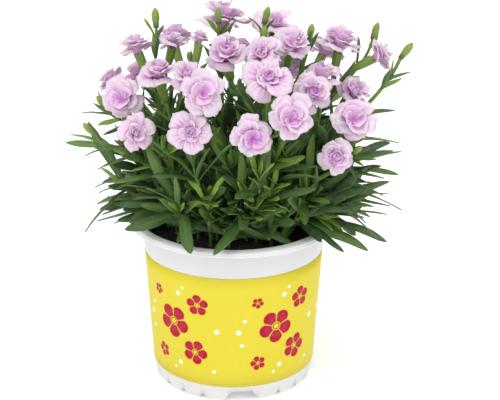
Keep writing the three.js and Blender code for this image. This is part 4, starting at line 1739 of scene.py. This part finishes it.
    def plan_filling(self) -> None:
        """Adds finer shoots between the others, so that leaves fill the plant down to the peat."""
        random = RandomSource(Seed.FILLING)
        for k in range(self.filling_shoots):
            bearing = GOLDEN_ANGLE * k + 20 * (random() - 0.5)
            root = 5 + 37 * math.sqrt((k + 0.5) / self.filling_shoots)
            collar = self.collar(bearing, root)
            out = random.between(6, 17)
            rise = random.between(14, 82 - 0.6 * root) * (1.12 - 0.35 * root / 42)
            tip = place(bearing + random.about(24), root + out, collar[2] + rise)
            nodes = (0.22, 0.5, 0.78) if rise > 26 else (0.3, 0.7)
            with self.shoot(collar, tip, 4, (1.0, 0.75), nodes) as curve:
                for _, share, turn in paired(nodes, 360 * random()):
                    scales = (1.1 - 0.4 * share, 1.05 - 0.25 * share, 1, 1)
                    self.fill(SHOOT_LEAF, curve.at(share), turn, random, 0.12 + 0.35 * share, scales)
                self.crown(curve, Seed.SHOOT + k)

    def plan_skirt(self) -> None:
        """Adds low rosettes whose leaves arch down over the rim, and taller side shoots."""
        random = RandomSource(Seed.SKIRT)
        for k in range(self.rosettes + len(SIDE_SHOOTS)):
            low = k < self.rosettes
            bearing, reach, out = 360 * k / self.rosettes + random.about(6), random.between(22, 40), 4
            lift = random.between(4, 17)
            if not low:
                bearing, out, lift = SIDE_SHOOTS[k - self.rosettes]
                reach = 36
            collar = self.collar(bearing, reach)
            tip = place(bearing + random.about(25) * low, reach + out, collar[2] + lift)
            kind, scales = (LOW_LEAF, (1, 1, 1, 1)) if low else (SIDE_LEAF, (0.55, 1.1, 1, 1))
            nodes = (1.0,) if low else (0.4, 0.7, 1.0)
            with self.shoot(collar, tip, 6 * low, (1.0, 0.8), nodes) as curve:
                for n in range(-2, 4):
                    at = curve.at(random.between(0.45, 1.0))
                    level, _ = cross_axes(at[1])
                    turn = bearing + 42 * n - 20 - math.degrees(math.atan2(level[1], level[0]))
                    self.fill(kind, at, turn, random, scales=scales)

    def plan_sprigs(self) -> None:
        """Adds small bright young shoots low at the front."""
        for k, spot in enumerate(SPRIGS):
            collar, tip = self.collar(spot[0], 30), place(*spot)
            random = RandomSource(Seed.SPRIG + k)
            with self.shoot(collar, tip, 20, (0.9, 0.6), (0.8, 1.0), 0.8) as curve:
                for n in range(8):
                    at = curve.point(0.8 if n < 4 else 1.0), curve.tangent(1.0)
                    self.fill(SPRIG_LEAF, at, 90 * n + 45 * (n // 4), random)

    def build_stems(self) -> None:
        """All stems, forks and shoots as round tubes along their lines, swollen at the nodes."""
        tree = GrowthTree("stem_growth", {"Sides": 10})
        (thick,) = tree.numbers("radius_here")
        line = tree.node("GeometryNodeMeshToCurve", {"Mesh": tree.size("Geometry")})
        line = tree.node("GeometryNodeSetCurveRadius", {"Curve": line, "Radius": thick})
        circle = {"Resolution": tree.size("Sides"), "Radius": 1.0}
        ring = tree.node("GeometryNodeCurvePrimitiveCircle", circle)
        inputs = {"Curve": line, "Profile Curve": ring, "Scale": thick, "Fill Caps": True}
        tree.finish(tree.node("GeometryNodeCurveToMesh", inputs), GreenSkin())
        lines = [limb.line() for limb in self.limbs]
        spots, radii, near, tones = (np.concatenate(column) for column in zip(*lines))
        starts = {sum(len(line[0]) for line in lines[:n]) for n in range(len(lines))}
        edges = [(n - 1, n) for n in range(len(spots)) if n not in starts]
        carried = {"radius_here": radii * MM, "rim": near * 0.55, "ribs": 0 * near, "tone": tones}
        tree.grow("stems", "leaf", STEM_NAMES + TUFT_NAMES, carried, spots * MM, edges)

    @staticmethod
    def leaf_tree(finish: Finish) -> GrowthTree:
        """The tree that grows a keeled, arching blade at each point.

        Args:
            finish: The blades' finish.

        Returns:
            The tree.
        """
        tree = GrowthTree("leaf_growth", {"Columns": 3, "Rows": 12, "Thickness": 0.00036, "Keel": 0.34})
        blades = tree.sheets(lambda y: 1 - (0.5 - y) ** 1.35)
        across, along, face = tree.numbers("across", "along", "face")
        base, lead, side, bend = tree.vectors("base", "lead", "side", "bend")
        length, width, curl, blunt = tree.numbers("length", "width", "curl", "blunt")
        lance = [(0.0, 0.34), (0.1, 0.5), (0.4, 1.0), (0.66, 0.84), (0.88, 0.42), (0.97, 0.14), (1.0, 0.03)]
        spoon = [(0.0, 0.34), (0.12, 0.46), (0.38, 0.8), (0.62, 1.0), (0.8, 0.92), (0.92, 0.62)]
        spoon += [(0.98, 0.3), (1.0, 0.06)]
        shape = tree.curve(along, lance) * (1 - blunt) + tree.curve(along, spoon) * blunt
        tangent = (lead * length + bend * (along * 2.0)).unit()
        flat = (side - tangent * side.dot(tangent)).unit()
        up = tangent.cross(flat)
        twist = curl * along * 0.9
        level = flat * twist.cosine() + up * twist.sine()
        normal = tangent.cross(level)
        half = width * 0.5 * shape
        raised = abs(across) ** 1.5 * half * tree.size("Keel") * (1.15 - along)
        arc = along * (1 - along) * 4.0
        sway = (along * 7.0 + curl * 9.0).sine() * arc * length * 0.018
        wave = (along * 5.0 + curl * 5.0 + across * 1.2).sine() * arc * length * 0.014
        thick = tree.size("Thickness") * (1.25 - along * 0.45) * (1.15 - abs(across) * 0.75)
        spot = base + lead * (length * along) + bend * (along * along)
        spot = spot - level * (across * half) + level * sway
        tree.finish(blades, finish, spot + normal * (raised + wave + face * thick))
        return tree

    @staticmethod
    def carried(leaves: list[Leaf], seed: int) -> dict[str, Array]:
        """What each leaf's point carries, by name.

        Args:
            leaves: The leaves.
            seed: Where their last differences start.

        Returns:
            The values.
        """
        random = np.random.default_rng(seed)
        words = ("base", "lead", "side", "bend", "length", "width", "tone", "blunt", "curl")
        values = {word: np.array([getattr(leaf, word) for leaf in leaves]) for word in words}
        for word in ("base", "bend", "length", "width"):
            values[word] = values[word] * MM
        stray = random.uniform(-0.5, 0.5, len(leaves))
        values["curl"] = np.where(values["curl"] == 0, stray, values["curl"])
        values["tone"] = np.clip(values["tone"] + random.uniform(-0.2, 0.2, len(leaves)), 0, 1)
        return values

    def build(self) -> None:
        """Builds the stems and the leaves."""
        self.plan_stems()
        self.plan_tufts()
        self.plan_filling()
        self.plan_skirt()
        self.plan_sprigs()
        self.build_stems()
        tree = self.leaf_tree(LeafSkin())
        nodes_of = {"stem_leaves": STEM_NAMES, "tuft_leaves": TUFT_NAMES, "filling_leaves": []}
        for name, nodes in nodes_of.items():
            leaves = getattr(self, name)
            log.info("%s: %d leaves", name, len(leaves))
            tree.grow(name, "leaf", nodes, self.carried(leaves, len(leaves)))


# ---- calyces and buds ----


@dataclass
class Cups:
    """The green calyces under the blooms, with the scales at their feet, and the unopened buds."""

    teeth: int = 5
    ring_points: int = 20
    calyx_radius: float = 2.75
    bud_radius: float = 2.05
    bud_length: float = 10.5

    def tree(self, name: str, outline: list[Span], tooth: float) -> GrowthTree:
        """The tree that grows a toothed cup at each point.

        Args:
            name: The tree's name.
            outline: The share of the radius at shares of the height.
            tooth: How far the teeth stand up, as a share of the height.

        Returns:
            The tree.
        """
        tree = GrowthTree(name, {"Tooth": tooth, "Rib": 0.05})
        inputs = {"Vertices": self.ring_points, "Side Segments": 10, "Radius": 1.0, "Depth": 1.0}
        tube = tree.node("GeometryNodeMeshCylinder", inputs, {"fill_type": "NGON"})
        x, y, z = tree.corner()
        cups = tree.repeat(tube, {"ring_x": x, "ring_y": y, "along": z + 0.5})
        x, y, along, length, radius = tree.numbers("ring_x", "ring_y", "along", "length", "radius_here")
        base, axis, first, second = tree.vectors("base", "axis", "first", "second")
        lobe = abs((y.bearing(x) * (self.teeth / 2)).cosine())
        height = along * (1 - tree.size("Tooth") * (1 - lobe) * along.ramp(0.7, 1.0))
        rib = 1 + (lobe - 0.5) * tree.size("Rib") * 2.0
        spot = base + axis * (length * height)
        spot = spot + (first * x + second * y) * (radius * tree.curve(along, outline) * rib)
        rim = along.ramp(0.86, 1.0) * 0.8 + (1 - along.ramp(0.0, 0.2)) * 0.5
        cups = tree.store(cups, {"ribs": lobe.ramp(0.2, 1.0) * 0.6, "rim": rim})
        tree.finish(cups, GreenSkin("calyx_green"), spot)
        return tree

    @staticmethod
    def carried(heads: list[Head], radii: list[float], tone: float) -> dict[str, Array]:
        """What each cup's point carries, by name.

        Args:
            heads: The blooms or buds.
            radii: Their cups' radii.
            tone: Their age.

        Returns:
            The values.
        """
        random = np.random.default_rng(len(heads))
        words = ("length", "foot", "axis")
        length, base, axis = (np.array([getattr(head, word) for head in heads]) for word in words)
        values = {"length": length * MM, "radius_here": np.array(radii) * MM, "base": base * MM, "axis": axis}
        values["first"], values["second"] = zip(*(cross_axes(head.axis) for head in heads))
        return {**values, "tone": tone + random.uniform(-0.15, 0.15, len(heads))}

    @staticmethod
    def scales() -> list[Leaf]:
        """The two pairs of pointed scales that clasp the foot of each calyx or bud.

        Returns:
            The scales, as leaves.
        """
        leaves = []
        for k, head in enumerate(HEADS):
            share, wide = (0.48, 3.2) if head.width else (0.42, 2.4)
            size = head.length * share
            for n in range(4):
                outward, _ = splay(head.axis, 90 * n + 37 * k)
                base = head.foot + outward * 1.0 - head.axis * 0.6
                lead, side = unit(head.axis + 0.22 * outward), np.cross(head.axis, outward)
                bend, long = -outward * 0.2 * size * 0.5, size * (1.0 if n % 2 else 0.85)
                leaves.append(Leaf(base, lead, side, bend, long, wide, 0.6, curl=0.01))
        return leaves

    def build(self) -> None:
        """Builds the calyces, the buds and their scales."""
        cup = [(0.0, 0.42), (0.12, 0.62), (0.4, 0.86), (0.8, 0.96), (1.0, 1.0)]
        radii = [self.calyx_radius * (0.8 + 0.2 * head.growth) for head in BLOOMS]
        tree = self.tree("calyx_growth", cup, 0.16)
        tree.grow("calyces", "leaf", [], self.carried(BLOOMS, radii, 0.7))
        cup = [(0.0, 0.5), (0.12, 0.66), (0.38, 0.95), (0.6, 1.0), (0.8, 0.78), (0.93, 0.42), (1.0, 0.08)]
        radii = [self.bud_radius * head.length / self.bud_length for head in BUDS]
        tree = self.tree("bud_growth", cup, 0.10)
        tree.grow("buds", "leaf", [], self.carried(BUDS, radii, 1.0))
        tree = Greenery.leaf_tree(LeafSkin("scale_green"))
        tree.grow("scales", "leaf", [], Greenery.carried(self.scales(), Seed.SCALE))


# ---- blooms ----


@dataclass(frozen=True)
class PetalLayer:
    """One layer of a bloom.

    Its petals reach a share of half the bloom's width, from roots at a height over the calyx. Their middles
    and edges rise by shares of that reach, their edges wave, and the layer turns against the one outside.
    Each petal covers a share of its sector to either side, and folds, crumples and hooks over the heart by
    shares of its reach. The petals are uneven in length and tilt by a share, and a bloom that faces up
    stands taller by the last share.
    """

    petals: int
    reach: float
    root: float
    middle: float
    edge: float
    wave: float
    turn: float
    spread: float
    root_reach: float
    fold: float
    crumple: float
    hook: float
    uneven: float
    lift: float


LAYERS = (
    PetalLayer(5, 1.0, 0.7, 0.21, 0.13, 0.07, 0, 0.60, 1.2, -0.05, 0.16, 0.0, 0.16, 0.3),
    PetalLayer(4, 0.82, 1.5, 0.30, 0.38, 0.08, 36, 0.62, 0.8, 0.06, 0.20, 0.0, 0.20, 0.8),
    PetalLayer(3, 0.68, 2.2, 0.50, 0.62, 0.08, 20, 0.70, 0.5, 0.05, 0.18, 0.55, 0.14, 0.7),
)
FINE_LAYERS = (
    PetalLayer(2, 0.76, 1.9, 0.36, 0.48, 0.10, 84, 0.34, 0.6, 0.12, 0.22, 0.0, 0.20, 0.9),
    PetalLayer(3, 0.56, 2.5, 0.58, 0.62, 0.08, 50, 0.74, 0.2, 0.0, 0.20, 0.95, 0.12, 0.5),
)


@dataclass
class Blooms:
    """All petals: the layers of the solids' blooms, with finer petals between them."""

    thickness: float = 0.26
    claw: float = 2.0
    arch_at: float = 0.58
    sparse_hearts: Span = (0.2, 1.0)
    sparse: float = 0.62
    back_from: float = 25.0
    right_from: float = 8.0

    def petals(self, head: Head, seed: int) -> Iterator[dict[str, Array | float]]:
        """What each petal of a bloom needs to grow.

        Args:
            head: The bloom.
            seed: Where its differences start.

        Yields:
            The values that the petal's point carries.
        """
        random, extra = RandomSource(seed), RandomSource(seed + Seed.FINE_PETAL)
        first = turn = TURN * random()
        full = self.sparse if head.heart in self.sparse_hearts else extra.between(0.88, 1.08)
        for layer in LAYERS:
            turn += math.radians(layer.turn)
            length = layer.reach * head.width / 2 * (full if layer.turn else 1)
            for k in range(layer.petals):
                long = length * (0.94 + 0.12 * random())
                dips = [layer.wave * length * (0.6 + 0.8 * random()) for _ in range(3)]
                edges = (-dips[0], 2 * dips[1] - layer.wave * length, dips[2])
                middle = turn + (k + 0.5) * TURN / layer.petals
                yield self.petal(head, layer, middle, long, edges, extra)
        for layer in FINE_LAYERS:
            length = layer.reach * head.width / 2 * full
            for k in range(layer.petals):
                middle = first + math.radians(layer.turn)
                middle += (k + 0.5 + 0.4 * (extra() - 0.5)) * TURN / layer.petals
                edges = tuple(layer.wave * length * (2 * extra() - 1) for _ in range(3))
                yield self.petal(head, layer, middle, length * extra.between(0.85, 1.08), edges, extra)

    def petal(
        self, head: Head, layer: PetalLayer, middle: float, long: float, edges: Spot, extra: RandomSource
    ) -> dict[str, Array | float]:
        """The values that one petal's point carries.

        Args:
            head: Its bloom.
            layer: Its layer.
            middle: The turn of its middle line, in radians.
            long: Its length.
            edges: How its edge stands at one side, in the middle and at the other side.
            extra: Where its finer differences come from.

        Returns:
            The values, by name.
        """
        size = 0.6 + 0.4 * head.growth
        first, second = cross_axes(head.axis)
        (bearing, _, _), (_, elevation) = head.at, head.face
        upward = min(1.0, max(0.0, (elevation - 35) / 35))
        edge, arch = (part * (1 + upward * layer.lift) for part in (layer.edge, layer.middle))
        fall = (self.arch_at * edge - arch) / (self.arch_at * (1 - self.arch_at))
        mark = math.sin(7 * bearing)
        aside = 0.5 * (math.cos(7 * bearing) * first + mark * second)
        tilt = layer.uneven * extra.between(-1.1, 1.1)
        left, mid, right = edges
        return {
            "centre": (head.top + (head.axis + aside) * layer.root * size) * MM,
            "outward": first * math.cos(middle) + second * math.sin(middle),
            "aside": -first * math.sin(middle) + second * math.cos(middle),
            "axis": head.axis,
            "reach": long * (1 + 0.08 * upward + layer.uneven * extra.between(-1.0, 0.2)) * MM,
            "root_reach": layer.root_reach * size * MM,
            "drop": (layer.root + self.claw) * size * MM,
            "spread": layer.spread * extra.between(0.88, 1.1) * TURN / layer.petals,
            "rise": edge - fall + tilt, "fall": fall, "tone": head.heart,
            "left": left * MM, "mid": mid * MM, "right": right * MM,
            "fold": layer.fold * extra.between(0.4, 1.6),
            "crumple": layer.crumple * extra.between(0.7, 1.3),
            "hook": layer.hook * (1.0 if mark > -0.35 else 0.3) * extra.between(0.85, 1.1),
            "deep": layer.hook * (0.3 + 0.7 * head.heart),
            "lean": layer.crumple * extra.between(-0.5, 0.5),
            "phase": extra(),
        }

    def tree(self) -> GrowthTree:
        """The tree that grows a waved, fringed petal at each point.

        Returns:
            The tree.
        """
        sizes = {"Columns": 19, "Rows": 8, "Thickness": self.thickness * MM / 2}
        tree = GrowthTree("petal_growth", {**sizes, "Fringe": 0.10, "Ruffle": 0.045, "Overlap": 0.12})
        sheets = tree.sheets(lambda y: y + 0.5)
        u, v, face, spread, drop = tree.numbers("across", "along", "face", "spread", "drop")
        reach, root, rise, fall, fold = tree.numbers("reach", "root_reach", "rise", "fall", "fold")
        mark, left, mid, right = tree.numbers("phase", "left", "mid", "right")
        crumple, hook, lean = tree.numbers("crumple", "hook", "lean")
        centre, outward, aside, axis = tree.vectors("centre", "outward", "aside", "axis")
        u2, v2, rest = u * u, v * v, 1 - v
        teeth = tree.noise(tree.join(u * 3.5, mark * 60.0), 1.0, 0.0) - 0.5
        teeth = teeth + abs((u * 11.0 + mark * 30.0).sine()) * 0.3
        fringe = teeth * tree.size("Fringe") * v2 * v2
        border = 0.97 - u2 * 0.10 - u2 * u2 * u2 * 0.28 + fringe
        rho = root * rest + reach * border * v * (1 - hook * v2)
        angle = u * spread * -1.0
        heading = outward * angle.cosine() + aside * angle.sine()
        lift = reach * (rise * v + fall * v2) - drop * (rest * rest * rest * rest)
        normal = (axis - heading * (rise + fall * v * 2.0)).unit()
        edge = mid * (1 - u2) + right * (u2 + u) * 0.5 + left * (u2 - u) * 0.5
        swing = (u * 5.2 + mark * 40.0).sine() + (u * 9.4 + mark * 90.0).sine() * 0.5
        ruffle = (swing * tree.size("Ruffle") * v2 + u * v * tree.size("Overlap")) * reach
        cup = abs(u) ** 1.6 * reach * (fold * v)
        thick = tree.size("Thickness") * (1.2 - v * 0.6)
        crease = tree.noise(tree.join(u * 1.6, v * 2.0, mark * 37.0), 1.0, 1.0, output="Color")
        spot = centre + heading * rho + axis * lift
        spot = spot + normal * (edge * v2 + ruffle + cup + face * thick)
        spot = spot + aside * (lean * reach * v2)
        spot = spot + (crease - (0.5, 0.5, 0.5)) * (crumple * reach * v * 2.0)
        tree.finish(sheets, PetalSilk(), spot)
        return tree

    def build(self) -> None:
        """Builds the petals, in three pieces by where the blooms stand."""
        tree = self.tree()
        groups = {"petals_left": [], "petals_right": [], "petals_back": []}
        for k, head in enumerate(BLOOMS):
            x, y, _ = place(*head.at)
            front = "left" if x < self.right_from else "right"
            groups["petals_" + ("back" if y > self.back_from else front)].append(k)
        for name, members in groups.items():
            rows = [row for k in members for row in self.petals(BLOOMS[k], Seed.BLOOM + k)]
            carried = {word: np.array([row[word] for row in rows]) for word in rows[0]}
            tree.grow(name, "petal", [f"bloom_{k + 1:02d}" for k in members], carried)


# ---- studio ----


@dataclass
class Studio:
    """The pale floor, the soft lights and the camera."""

    focal: float = 122.5
    sensor: float = 36.0
    sky: float = 0.7
    camera_at: Spot = (0.0, -0.909961, 0.464693)
    right: Spot = (0.999954, -0.008859, 0.003763)
    up: Spot = (-0.000249, 0.366993, 0.930224)
    ahead: Spot = (0.009622, 0.930182, -0.366974)
    aim: Spot = (0.0, 0.0, 0.12)
    floor_half: float = 6.0
    lights: tuple[tuple[str, Spot, float, float], ...] = (
        ("key", (-0.9, -1.1, 1.5), 1.2, 12.0),
        ("fill", (1.3, -0.7, 0.9), 1.4, 5.5),
        ("low", (-0.1, -1.5, 0.35), 1.0, 2.0),
        ("top", (0.1, 0.3, 1.7), 1.6, 11.0),
    )

    def floor(self) -> None:
        """A wide pale floor."""
        half = self.floor_half / MM
        corners = [(-half, -half, 0), (half, -half, 0), (half, half, 0), (-half, half, 0)]
        sheet = meshed("floor", corners, [(0, 1, 2, 3)])
        sheet.data.materials.append(StudioPaper().material())
        sheet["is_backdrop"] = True

    def light(self, name: str, at: Spot, size: float, power: float) -> None:
        """One square soft light that faces the plant.

        Args:
            name: Its name.
            at: Its place, in metres.
            size: Its width, in metres.
            power: Its power, in watts.
        """
        lamp = bpy.data.lights.new(name, "AREA")
        lamp.shape, lamp.size, lamp.energy = "SQUARE", size, power
        body = linked(name, lamp)
        body.location = at
        body.rotation_euler = (Vector(self.aim) - Vector(at)).to_track_quat("-Z", "Y").to_euler()

    def build(self) -> None:
        """Sets the floor, lights, world and camera."""
        scene = bpy.context.scene
        scene.view_settings.view_transform = "Standard"
        self.floor()
        for light in self.lights:
            self.light(*light)
        scene.world = bpy.data.worlds.new("studio")
        scene.world.use_nodes = True
        sky = scene.world.node_tree.nodes["Background"].inputs
        sky["Color"].default_value, sky["Strength"].default_value = (1, 1, 1, 1), self.sky
        camera = bpy.data.cameras.new("camera")
        camera.sensor_width, camera.lens, camera.clip_end = self.sensor, self.focal, 100.0
        body = linked("camera", camera)
        turn = Matrix((self.right, self.up, [-part for part in self.ahead])).transposed()
        body.matrix_world = Matrix.Translation(self.camera_at) @ turn.to_4x4()
        scene.camera = body


def plain(box: tuple) -> list[list[float]]:
    """A box as plain lists of numbers."""
    return [[round(float(part), 5) for part in corner] for corner in box]


def main() -> None:
    """Builds the whole plant round the packed frame and writes its sizes."""
    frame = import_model()
    solid_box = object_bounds()
    pot = Pot()
    pot.build()
    low, high = (np.array(corner) / MM for corner in solid_box)
    Greenery(pot, Solids(frame["nodes"]), low + 1.0, high - 1.0).build()
    Cups().build()
    Blooms().build()
    Studio().build()
    sizes = {"solids": plain(solid_box), "visual": plain(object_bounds())}
    log.info("sizes: %s", sizes)


if __name__ == "__main__":
    main()
